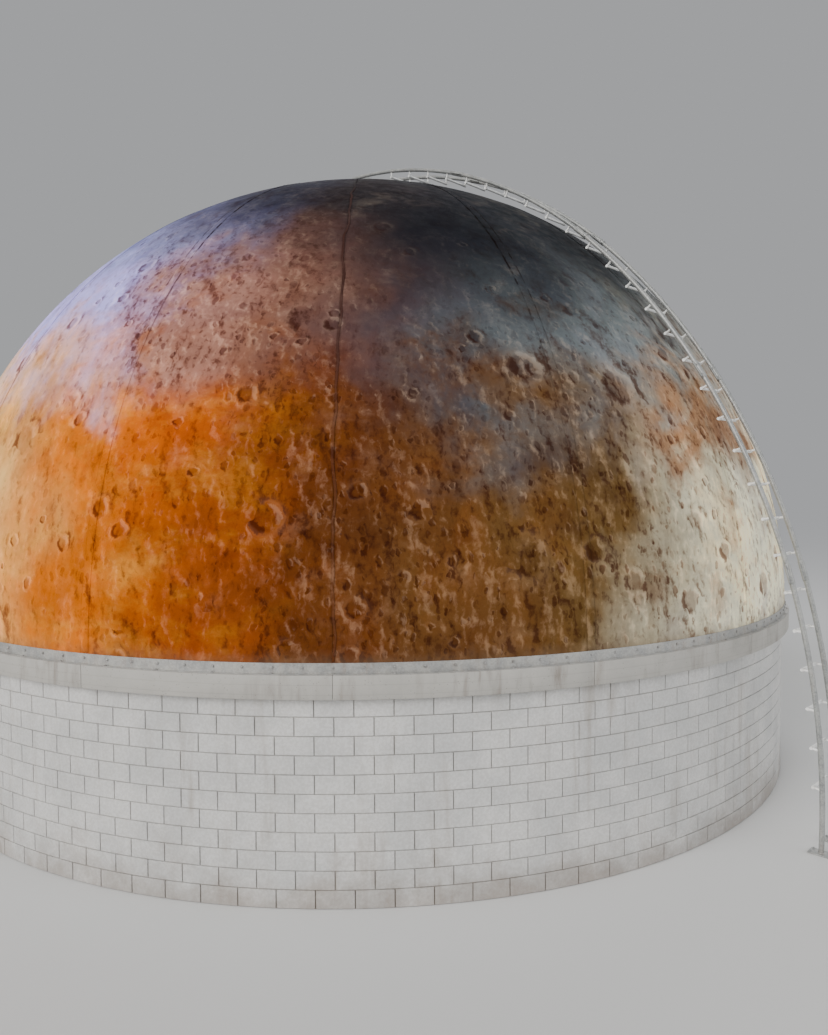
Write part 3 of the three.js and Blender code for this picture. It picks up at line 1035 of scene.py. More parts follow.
@cache
def sealant():
    """Dark weathered sealant, painted over low down and in patches."""
    finish = Finish("dark_sealant")
    fine, broad = finish.grain(60.0, 5.0)
    from_centre = finish.apart(finish.place, CENTRE)
    ground = finish.group(ground_paint_group(), Place=from_centre)["Colour"]
    height = finish.height(finish.place)
    tone = finish.mix(broad, (0.03, 0.010, 0.007), (0.055, 0.02, 0.014))
    tone = finish.mix(finish.step(height, SPRINGING + 5.4, SPRINGING + 6.5), tone, (0.012, 0.011, 0.012))
    painted_over = finish.larger(finish.step(finish.noise(finish.place, 1.1, 4.0), 0.44, 0.66, 0.05, 0.8),
                                 finish.step(height, SPRINGING + 4.3, SPRINGING + 2.2, 0.0, 1.0))
    finish.surface(finish.mix(finish.times(painted_over, 0.7), tone, ground), 0.85, 0.12)
    finish.bump(fine, 0.6, 0.004)
    return finish.material


@cache
def crown_paint():
    """Dark slate paint on the crown, partly painted shade, chalked by the weather."""
    finish = Finish("crown_slate_paint")
    fine, broad = finish.grain(48.0, 3.0)
    # The slate is partly painted shade
    tone = finish.mix(broad, bpy.context.scene.dome_paint.crown, (0.035, 0.038, 0.046))
    chalk = finish.step(finish.noise(finish.place, 9.0, 6.0, 0.7), 0.55, 0.75, 0.0, 0.3)
    finish.surface(finish.mix(chalk, tone, (0.2, 0.21, 0.22)), finish.patchy(broad, 0.5, 0.75), 0.08)
    finish.bump(fine, 0.3, 0.003)
    return finish.material


class MetalLook(NamedTuple):
    """A steel's tone, its worn tone and how rusty, rough, metallic and spangled it is."""
    tone: tuple
    worn_tone: tuple
    rust: float
    roughness: float
    metallic: float
    spangle: float = 0.22


METALS = {
    "galvanised_ladder_steel": MetalLook((0.23, 0.24, 0.235), (0.32, 0.325, 0.31), 0.35, 0.44, 0.35),
    # The treads' near-white is partly a painted highlight, far lighter than the rails' steel
    "bright_tread_steel": MetalLook((0.80, 0.80, 0.77), (0.92, 0.92, 0.90), 0.2, 0.4, 0.15),
    "zinc_bolt_steel": MetalLook((0.42, 0.42, 0.41), (0.3, 0.29, 0.27), 0.6, 0.42, 0.8),
    "foot_flashing_steel": MetalLook((0.33, 0.33, 0.32), (0.42, 0.41, 0.38), 0.5, 0.5, 0.5),
    "door_grey_paint": MetalLook((0.10, 0.14, 0.165), (0.135, 0.18, 0.2), 0.3, 0.42, 0.1, 0.015),
    "door_frame_paint": MetalLook((0.19, 0.225, 0.24), (0.25, 0.28, 0.29), 0.35, 0.45, 0.15, 0.03),
}
SPANGLE_SCALE = 65.0


@cache
def metal(name):
    """Painted or galvanised steel: mottled, rusty in spots, with stains that have run down."""
    look = METALS[name]
    finish = Finish(name)
    fine, broad = finish.grain(90.0, 7.0)
    flake = finish.separate(finish.cells(finish.place, SPANGLE_SCALE)["Color"])[0]
    base = finish.mix(finish.step(broad, 0.35, 0.65), look.tone, look.worn_tone)
    base = finish.mix(finish.times(flake, look.spangle), base, (0.8, 0.8, 0.78))
    base = finish.mix(finish.times(finish.stain(14.0, 6.0, 0.7), look.rust), base, (0.3, 0.17, 0.09))
    spots = finish.step(finish.noise(finish.place, 17.0, 7.0, 0.7), 0.72 - look.rust * 0.2, 0.8)
    rust = finish.times(spots, min(1.0, look.rust * 2))
    rust_tone = finish.mix(fine, (0.16, 0.055, 0.018), (0.34, 0.14, 0.05))
    polish = finish.patchy(broad, look.roughness - 0.08, look.roughness + 0.1)
    finish.surface(finish.mix(rust, base, rust_tone),
                   finish.plus(polish, finish.times(rust, 0.3), clamp=True))
    finish.feed_all(finish.shader, Metallic=finish.times(finish.minus(1.0, rust), look.metallic))
    finish.bump(finish.plus(fine, finish.times(rust, 0.7)), 0.3, 0.0015)
    return finish.material


@cache
def beam_concrete():
    """Cast concrete with board marks, blow holes and stains that have run down."""
    finish = Finish("cast_concrete")
    fine, broad = finish.grain(42.0, 2.6)
    pores = finish.step(finish.cells(finish.place, 24.0)["Distance"], 0.16, 0.08)
    board_lines = finish.math("PINGPONG", finish.height(finish.place), 0.05)
    boards = finish.step(board_lines, 0.0, 0.006, 1.0, 0.0)
    tone = finish.mix(broad, (0.36, 0.35, 0.32), (0.52, 0.5, 0.46))
    tone = finish.mix(finish.times(boards, 0.2), tone, (0.22, 0.2, 0.18))
    tone = finish.mix(finish.times(pores, 0.5), tone, (0.16, 0.15, 0.13))
    finish.surface(finish.mix(finish.stain(7.0, 7.0, 0.75), tone, (0.17, 0.13, 0.1)),
                   finish.patchy(fine, 0.78, 0.92))
    finish.bump(finish.minus(fine, finish.plus(pores, finish.times(boards, 0.6))), 0.5, 0.003)
    return finish.material


class WallLook(NamedTuple):
    """A masonry paint's two tones, how dirty it is and the scale of its grain."""
    low_tone: tuple
    high_tone: tuple
    dirt: float
    grain_scale: float


WALL_PAINTS = {
    "painted_blocks": WallLook((0.55, 0.55, 0.54), (0.68, 0.67, 0.65), 0.6, 36.0),
    "painted_mortar": WallLook((0.36, 0.35, 0.33), (0.46, 0.45, 0.42), 0.7, 80.0),
}


@cache
def wall_paint(name):
    """Masonry paint: mottled, splashed low down, with stains from above."""
    look = WALL_PAINTS[name]
    finish = Finish(name)
    fine, broad = finish.grain(look.grain_scale, 1.7)
    splash_line = finish.plus(finish.height(finish.place),
                              finish.times(finish.noise(finish.place, 1.6, 6.0, 0.7), -1.9))
    splash = finish.step(splash_line, -0.3, -1.2, 0.0, look.dirt)
    tone = finish.mix(finish.patchy(broad), look.low_tone, look.high_tone)
    tone = finish.mix(finish.step(fine, 0.62, 0.4, 0.0, 0.22), tone, (0.3, 0.28, 0.25))
    tone = finish.mix(finish.stain(5.0, 8.0, look.dirt), tone, (0.3, 0.25, 0.2))
    finish.surface(finish.mix(splash, tone, (0.2, 0.15, 0.11)), finish.patchy(fine, 0.68, 0.86))
    finish.bump(fine, 0.55, 0.004)
    return finish.material


STUDIO_AIR = (0.66, 0.67, 0.69)
STUDIO_AIR_STRENGTH = 0.6
FLOOR_FADE_START = 12.0


@cache
def floor_paint():
    """The plain pale studio floor, which melts into the air far away."""
    finish = Finish("pale_floor")
    near = finish.mix(finish.noise(finish.place, 0.15, 2.0), (0.70, 0.70, 0.69), (0.73, 0.73, 0.72))
    nearness = finish.over(FLOOR_FADE_START, finish.vector("LENGTH", finish.place))
    far = finish.step(nearness, 1.0, 0.1)
    finish.surface(finish.mix(far, near, (0, 0, 0)), 0.9, 0.0)
    finish.feed_all(finish.shader, Emission_Color=finish.mix(far, (0, 0, 0), STUDIO_AIR),
                    Emission_Strength=STUDIO_AIR_STRENGTH)
    return finish.material


# The pieces

class DOME_OT_shell_gores(Operator):
    """Makes the sixteen gores of the shell"""
    bl_idname = "dome.shell_gores"
    bl_label = "Shell gores"

    SPIN_STEPS = 12

    def execute(self, context):
        sizes = context.scene.dome_shell
        pattern = meridian(sizes.radius, 0, sizes.crown_elevation)
        with editing(pattern):
            spin(self.SPIN_STEPS, BAY)
        thicken(pattern, sizes.thickness, -1)
        bevel(pattern, sizes.joint_bevel)
        pattern.data.materials.append(shell_paint())
        pattern.data.materials.append(shell_lining())
        middle = sizes.radius - sizes.thickness / 2
        with editing(pattern):
            pick(pattern, "FACE", lambda face: (face.calc_center_median() - CENTRE).length < middle)
            pattern.active_material_index = 1
            bpy.ops.object.material_slot_assign()
        for i, node in enumerate(GORE_NODES):
            gore = copy_placed(pattern, turned(i * BAY))
            finish_piece(gore, f"painted_gore_{i + 1:02d}", "shell_paint", shell_paint(), shell_lining(),
                         replaces=[node])
        discard(pattern)
        return {"FINISHED"}


class DOME_OT_seam_seals(Operator):
    """Makes the wandering sealant over every second seam"""
    bl_idname = "dome.seam_seals"
    bl_label = "Seam seals"

    def execute(self, context):
        sizes = context.scene.dome_shell
        pattern = seam_cover(sizes, sizes.seal_width, sizes.seal_height)
        bevel(pattern, sizes.seal_height * 0.4)
        clouds = bpy.data.textures.new("seal_wander", "CLOUDS")
        clouds.noise_scale = 0.5
        for i in range(0, len(GORE_NODES), 2):
            make_active(pattern)
            bpy.ops.object.duplicate(linked=False)
            seal = context.object
            seal.rotation_euler.z = math.radians(i * BAY)
            context.view_layer.update()
            modify(seal, "DISPLACE", texture=clouds, texture_coords="GLOBAL", direction="X",
                   space="LOCAL", mid_level=0.5, strength=sizes.seal_wander)
            is_front = i == 0
            finish_piece(seal, f"seam_seal_{i // 2 + 1}", "shell_paint",
                         sealant() if is_front else shell_paint())
        discard(pattern)
        return {"FINISHED"}


class DOME_OT_seam_strips(Operator):
    """Makes the riveted cover strips over the other seams"""
    bl_idname = "dome.seam_strips"
    bl_label = "Seam cover strips"

    RIVET_RADIUS = 0.006
    RIVET_HEIGHT = 0.005
    RIVET_STEP = 3
    RIVET_INSET = 0.016

    def rivet_pairs(self, sizes):
        """One strip's rivets, a pair at each step in elevation."""
        places = []
        for elevation in range(self.RIVET_STEP, sizes.crown_elevation - 1, self.RIVET_STEP):
            away = front_direction(elevation)
            spot = CENTRE + away * (sizes.radius + sizes.strip_height)
            for side in (-1, 1):
                across = SIDEWAYS * side * (sizes.strip_width / 2 - self.RIVET_INSET)
                places.append(facing(away, spot + across, SIDEWAYS))
        return join(bolts_at(places, self.RIVET_RADIUS, self.RIVET_HEIGHT, 1.5))

    def execute(self, context):
        sizes = context.scene.dome_shell
        pattern = seam_cover(sizes, sizes.strip_width, sizes.strip_height)
        bevel(pattern, sizes.strip_height / 2)
        rivets = self.rivet_pairs(sizes)
        all_rivets = []
        for i in range(1, len(GORE_NODES), 2):
            strip = copy_placed(pattern, turned(i * BAY))
            finish_piece(strip, f"seam_strip_{i // 2 + 1}", "shell_paint", shell_paint())
            all_rivets.append(copy_placed(rivets, turned(i * BAY)))
        discard(pattern, rivets)
        finish_piece(join(all_rivets), "seam_rivets", "shell_paint", shell_paint())
        return {"FINISHED"}


class DOME_OT_crown(Operator):
    """Makes the crown cap, its bolted rim band and the ladder's post"""
    bl_idname = "dome.crown"
    bl_label = "Crown"

    SPIN_STEPS = 96
    FLAT_RADIUS = 0.28
    BAND_DEGREES = 0.5
    BAND_THICKNESS = 0.008
    BAND_BOLTS = 24
    POST_RADIUS = 0.07
    FLANGE_HEIGHT = 0.02
    FLANGE_BOLTS = 8
    FLANGE_BOLT_CIRCLE = 0.185
    FILLET = 0.012
    WEB_COUNT = 4
    WEB_SIZE = (0.01, 0.09, 0.12)

    def cap(self, sizes):
        arc = meridian(sizes.radius, sizes.crown_elevation, 89, 2)
        low = sizes.radius * math.cos(math.radians(sizes.crown_elevation)) - 0.05
        with editing(arc):
            pick(arc, "VERT", lambda vertex: -vertex.co.y < self.FLAT_RADIUS - 0.01)
            bpy.ops.mesh.delete(type="VERT")
            spin_round(self.SPIN_STEPS)
            pick(arc, "EDGE", lambda edge: edge.is_boundary and
                 max(v.co.xy.length for v in edge.verts) < low)
            bpy.ops.mesh.extrude_edges_move(TRANSFORM_OT_translate={"value": (0, 0, 0)})
            bpy.ops.transform.resize(value=(0.5, 0.5, 1), center_override=(0, 0, 0))
            bpy.ops.mesh.edge_face_add()
        thicken(arc, sizes.thickness, -1)
        bevel(arc, sizes.joint_bevel)
        finish_piece(arc, "crown_cap_slate", "crown_paint", crown_paint(), replaces=["crown_cap"])

    def band(self, sizes):
        arc = meridian(sizes.radius, sizes.crown_elevation - self.BAND_DEGREES,
                       sizes.crown_elevation + self.BAND_DEGREES, 4)
        with editing(arc):
            spin_round(self.SPIN_STEPS)
        thicken(arc, self.BAND_THICKNESS, 1)
        bevel(arc, 0.002)
        finish_piece(arc, "crown_rim_band", "crown_paint", crown_paint())
        away = front_direction(sizes.crown_elevation)
        spot = CENTRE + away * (sizes.radius + self.BAND_THICKNESS)
        bolts, = bolts_at([facing(away, spot, SIDEWAYS)], 0.01, 0.009)
        repeat_turned(bolts, self.BAND_BOLTS, 360 / self.BAND_BOLTS)
        finish_piece(bolts, "crown_rim_bolts", "crown_paint", metal("zinc_bolt_steel"))

    def post(self):
        flange_radius = frame_edge("crown_post", 1, 0)
        flange_top = CROWN_FLAT + self.FLANGE_HEIGHT
        post = rod(flange_radius, self.FLANGE_HEIGHT, (0, 0, CROWN_FLAT + self.FLANGE_HEIGHT / 2), 48)
        with editing(post):
            pick(post, "FACE", lambda face: face.normal.z > 0.9)
            bpy.ops.mesh.inset(thickness=flange_radius - self.POST_RADIUS - self.FILLET)
            bpy.ops.mesh.inset(thickness=self.FILLET, depth=self.FILLET)
            rise = POST_TOP - flange_top - self.FILLET
            bpy.ops.mesh.extrude_region_move(TRANSFORM_OT_translate={"value": (0, 0, rise)})
        bevel(post, 0.003)
        finish_piece(post, "crown_post_tube", "ladder_steel", metal("galvanised_ladder_steel"),
                     replaces=["crown_post"])

        spot = Matrix.Translation((0, -self.FLANGE_BOLT_CIRCLE, flange_top))
        bolts, = bolts_at([spot], 0.014, 0.016)
        repeat_turned(bolts, self.FLANGE_BOLTS, 360 / self.FLANGE_BOLTS)
        finish_piece(bolts, "crown_post_bolts", "ladder_steel", metal("zinc_bolt_steel"))

    def webs(self):
        """Four sloping web plates between the post and its flange."""
        height = self.WEB_SIZE[2]
        web = block(self.WEB_SIZE, (0, -0.11, CROWN_FLAT + self.FLANGE_HEIGHT + height / 2))
        with editing(web):
            pick(web, "VERT", lambda vertex: vertex.co.y < -0.12 and vertex.co.z > CROWN_FLAT + 0.1)
            bpy.ops.transform.translate(value=(0, 0, -0.095))
        bevel(web, 0.0015, 1)
        repeat_turned(web, self.WEB_COUNT, 360 / self.WEB_COUNT)
        with editing(web):
            bpy.ops.transform.rotate(value=math.radians(22.5), orient_axis="Z", center_override=(0, 0, 0))
        finish_piece(web, "crown_post_webs", "ladder_steel", metal("galvanised_ladder_steel"))

    def execute(self, context):
        sizes = context.scene.dome_shell
        self.cap(sizes)
        self.band(sizes)
        self.post()
        self.webs()
        return {"FINISHED"}


class DOME_OT_shell_foot(Operator):
    """Makes the bolted flashing round the foot of the shell"""
    bl_idname = "dome.shell_foot"
    bl_label = "Shell foot"

    LEG_HEIGHT = 0.11
    PLATE = 0.006
    GAP = 0.001
    EDGE_INSET = 0.008
    BOLT_COUNT = 144
    BOLT_HEIGHT = 0.065
    BOLT_REACH = 0.031

    def execute(self, context):
        radius = context.scene.dome_shell.radius
        inner = radius + self.GAP
        upright = ring(inner, inner + self.PLATE, SPRINGING, SPRINGING + self.LEG_HEIGHT)
        flat = ring(inner, BEAM_RADIUS - self.EDGE_INSET, SPRINGING, SPRINGING + self.PLATE)
        flashing = join([upright, flat])
        bevel(flashing, 0.0015, 1)
        finish_piece(flashing, "foot_flashing", "ladder_steel", metal("foot_flashing_steel"))

        side = Vector((0, -inner - self.PLATE, SPRINGING + self.BOLT_HEIGHT))
        top = Vector((0, -radius - self.BOLT_REACH, SPRINGING + self.PLATE))
        through, down = bolts_at([facing(front_direction(0), side), Matrix.Translation(top)], 0.011, 0.01)
        repeat_turned(through, self.BOLT_COUNT, 360 / self.BOLT_COUNT)
        repeat_turned(down, self.BOLT_COUNT // 2, 720 / self.BOLT_COUNT)
        finish_piece(join([through, down]), "foot_bolts", "ladder_steel", metal("zinc_bolt_steel"))
        return {"FINISHED"}


class DOME_OT_ring_beam(Operator):
    """Makes the cast ring beam in sixteen jointed lengths"""
    bl_idname = "dome.ring_beam"
    bl_label = "Ring beam"

    SPIN_STEPS = 12
    JOINT_BEVEL = 0.012

    def execute(self, context):
        beam = ring_section(WALL_INNER_RADIUS, BEAM_RADIUS, BEAM_BOTTOM, SPRINGING)
        with editing(beam):
            spin(self.SPIN_STEPS, BAY)
            pick(beam, "EDGE", lambda edge: edge.is_boundary)
            bpy.ops.mesh.edge_face_add()
            bpy.ops.mesh.select_all(action="SELECT")
            bpy.ops.mesh.normals_make_consistent(inside=False)
        bevel(beam, self.JOINT_BEVEL)
        repeat_turned(beam, len(GORE_NODES), BAY)
        finish_piece(beam, "ring_beam_cast", "beam_concrete", beam_concrete(), replaces=["ring_beam"])
        return {"FINISHED"}


class DOME_OT_block_wall(Operator):
    """Faces the round base wall with painted blocks, left out at the doorway"""
    bl_idname = "dome.block_wall"
    bl_label = "Block wall"

    BLOCK_DEPTH = 0.04
    BLOCK_BEVEL = 0.004
    NEAR_DOOR = (0.2, 1.6)
    DOOR_SLACK = 0.002

    def execute(self, context):
        sizes = context.scene.dome_wall
        step = 360 / sizes.block_count
        course = BEAM_BOTTOM / sizes.course_count
        width = 2 * WALL_RADIUS * math.sin(math.radians(step / 2)) - sizes.mortar
        front = WALL_RADIUS + sizes.proud
        stone = block((width, self.BLOCK_DEPTH, course - sizes.mortar),
                      (0, -front + self.BLOCK_DEPTH / 2, course / 2))
        bevel(stone, self.BLOCK_BEVEL, 1)
        with editing(stone):
            pick(stone, "FACE", lambda face: face.normal.y > 0.9)
            bpy.ops.mesh.delete(type="FACE")
        repeat_turned(stone, sizes.block_count, step)
        courses = []
        for i in range(sizes.course_count):
            half_bond = step / 2 * (i % 2)
            courses.append(copy_placed(stone, Matrix.Translation((0, 0, i * course)) @ turned(half_bond)))
        discard(stone)
        wall = join(courses)

        near, far = self.NEAR_DOOR
        with editing(wall):
            for side in (-1, 1):
                pick(wall, "VERT", lambda vertex: vertex.co.y > 0 and near < side * vertex.co.x < far)
                bpy.ops.mesh.select_linked()
                bpy.ops.mesh.bisect(plane_co=(side * DOOR_HALF_WIDTH, 0, 0), plane_no=(side, 0, 0),
                                    use_fill=True, clear_inner=True)
            pick(wall, "VERT", lambda vertex: vertex.co.y > 0 and
                 abs(vertex.co.x) < DOOR_HALF_WIDTH - self.DOOR_SLACK)
            bpy.ops.mesh.select_linked()
            bpy.ops.mesh.delete(type="VERT")
        finish_piece(wall, "wall_blocks", "wall_paint", wall_paint("painted_blocks"), smooth_angle=20)
        return {"FINISHED"}


class DOME_OT_doorway(Operator):
    """Makes the door leaves, their hinges, handles and kick plates"""
    bl_idname = "dome.doorway"
    bl_label = "Doorway"

    HINGE_HEIGHTS = (0.25, 1.0, 1.72)
    HINGE_RADIUS = 0.011
    HINGE_LENGTH = 0.11
    HINGE_KNUCKLES = 5
    HANDLE_HEIGHT = 1.05
    HANDLE_RADIUS = 0.0125
    HANDLE_REACH = 0.06
    HANDLE_INSET = 0.09
    KICK_HEIGHT = 0.22
    KICK_MARGIN = 0.025

    def pressed_leaf(self, node, low, high, side, sizes):
        """A leaf with a pressed panel above and one below, inside and outside."""
        middle = (low + high) / 2
        leaf = block(high - low, middle)
        with editing(leaf):
            bpy.ops.mesh.bisect(plane_co=middle, plane_no=(0, 0, 1))
            pick(leaf, "FACE", lambda face: abs(face.normal.y) > 0.9)
            for inset, depth in ((sizes.panel_margin, 0.0), (0.014, -sizes.panel_depth), (0.05, 0.0),
                                 (0.02, sizes.panel_depth * 0.7)):
                bpy.ops.mesh.inset(thickness=inset, depth=depth, use_individual=True)
        bevel(leaf, 0.0015)
        hand = "right" if side > 0 else "left"
        finish_piece(leaf, f"door_leaf_{hand}_pressed", "door_paint", metal("door_grey_paint"),
                     replaces=[node])

    def kick_plate(self, low, high):
        plate = block((high.x - low.x - 2 * self.KICK_MARGIN, 0.003, self.KICK_HEIGHT),
                      ((low.x + high.x) / 2, high.y + 0.001, low.z + 0.14))
        bevel(plate, 0.001, 1)
        return plate

    def hinge(self, x, outside, height):
        """A barrel with grooves between its knuckles."""
        barrel = rod(self.HINGE_RADIUS, self.HINGE_LENGTH, (x, outside + 0.008, height), 16)
        knuckle = self.HINGE_LENGTH / self.HINGE_KNUCKLES
        with editing(barrel):
            pick(barrel, "EDGE", lambda edge: abs((edge.verts[0].co - edge.verts[1].co).z) > knuckle)
            bpy.ops.mesh.subdivide(number_cuts=self.HINGE_KNUCKLES - 1)
            pick(barrel, "FACE", lambda face: abs(face.normal.z) < 0.5 and
                 0.5 < abs(face.calc_center_median().z - height) / knuckle < 1.5)
            bpy.ops.mesh.inset(thickness=0.001, depth=0.0012)
        return barrel

    def handle(self, x, outside, sizes):
        """A bar handle on two stand-offs."""
        middle = (x, outside + self.HANDLE_REACH, self.HANDLE_HEIGHT)
        bar = rod(self.HANDLE_RADIUS, sizes.handle_length, middle, 20)
        bevel(bar, 0.003)
        parts = [bar]
        for end in (-1, 1):
            z = self.HANDLE_HEIGHT + end * sizes.handle_length / 2 * 0.75
            standoff = rod(0.018, 0.006, (x, outside + 0.003, z), 16, (math.pi / 2, 0, 0))
            with editing(standoff):
                pick(standoff, "FACE", lambda face: face.normal.y > 0.9)
                bpy.ops.mesh.inset(thickness=0.009)
                bpy.ops.mesh.extrude_region_move(TRANSFORM_OT_translate={"value": (0, 0.05, 0)})
            parts.append(standoff)
        return parts

    def execute(self, context):
        sizes = context.scene.dome_door
        fittings = []
        for node, side in (("door_leaf_right", 1), ("door_leaf_left", -1)):
            low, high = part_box(node)
            hinge_x, meeting_x = (high.x, low.x) if side > 0 else (low.x, high.x)
            self.pressed_leaf(node, low, high, side, sizes)
            fittings.append(self.kick_plate(low, high))
            for height in self.HINGE_HEIGHTS:
                fittings.append(self.hinge(hinge_x, high.y, height))
            fittings += self.handle(meeting_x + side * self.HANDLE_INSET, high.y, sizes)
        finish_piece(join(fittings), "door_fittings", "door_paint", metal("zinc_bolt_steel"))
        return {"FINISHED"}


class RailLine:
    """The line of the ladder's rails, which stand further off the shell at its foot and its head."""

    CLOSEST_ELEVATION = 45.0
    CLOSEST_STANDOFF = 0.165
    LOWER_SPREAD = 0.000305
    UPPER_SPREAD = 0.000138
    REFERENCE_ELEVATION = 36.1
    LOWEST_ELEVATION = -40
    SWEEP = 140
    STEP = 0.1

    def __init__(self, bearing, pitch):
        self.out = outward(bearing)
        self.across = outward(bearing + 90)
        self.pitch = pitch
        count = int(self.SWEEP / self.STEP)
        self.elevations = [self.LOWEST_ELEVATION + i * self.STEP for i in range(count)]
        self.lengths = [0.0]
        for start, end in zip(self.elevations, self.elevations[1:]):
            self.lengths.append(self.lengths[-1] + (self.point(end) - self.point(start)).length)
        self.reference = self.length_at(self.REFERENCE_ELEVATION)

    def standoff(self, elevation):
        away = elevation - self.CLOSEST_ELEVATION
        spread = self.LOWER_SPREAD if away < 0 else self.UPPER_SPREAD
        return self.CLOSEST_STANDOFF + spread * away * away

    def point(self, elevation, side=0.0):
        radius = DOME_RADIUS + self.standoff(elevation)
        angle = math.radians(elevation)
        return (Vector((0, 0, SPRINGING + radius * math.sin(angle))) +
                self.out * radius * math.cos(angle) + self.across * side)

    def length_at(self, elevation):
        place = (elevation - self.elevations[0]) / self.STEP
        i = int(place)
        return self.lengths[i] + (self.lengths[i + 1] - self.lengths[i]) * (place - i)

    def tread_elevation(self, k):
        """The elevation of a tread, counted in pitches along the rails from the reference tread."""
        wanted = self.reference + k * self.pitch
        for i in range(1, len(self.lengths)):
            if self.lengths[i] >= wanted:
                share = (wanted - self.lengths[i - 1]) / (self.lengths[i] - self.lengths[i - 1])
                return self.elevations[i - 1] + share * self.STEP
        raise RuntimeError("tread beyond the end of the rails")

    def foot_elevation(self, height):
        """Where the rails reach a height above the ground."""
        for elevation in self.elevations:
            if self.point(elevation).z >= height:
                return elevation
        raise RuntimeError("rails never reach that height")

    def frame_at(self, elevation):
        """A matrix with X across the ladder and Z away from the dome's centre, on the centre line."""
        angle = math.radians(elevation)
        away = self.out * math.cos(angle) + UPWARDS * math.sin(angle)
        turn = Matrix((self.across, away.cross(self.across), away)).transposed().to_4x4()
        return Matrix.Translation(self.point(elevation)) @ turn

    def along_at(self, elevation, side):
        """A matrix with Z along the rail, for what is clamped round it."""
        tangent = self.point(elevation + 0.5) - self.point(elevation - 0.5)
        return facing(tangent, self.point(elevation, side), self.across)


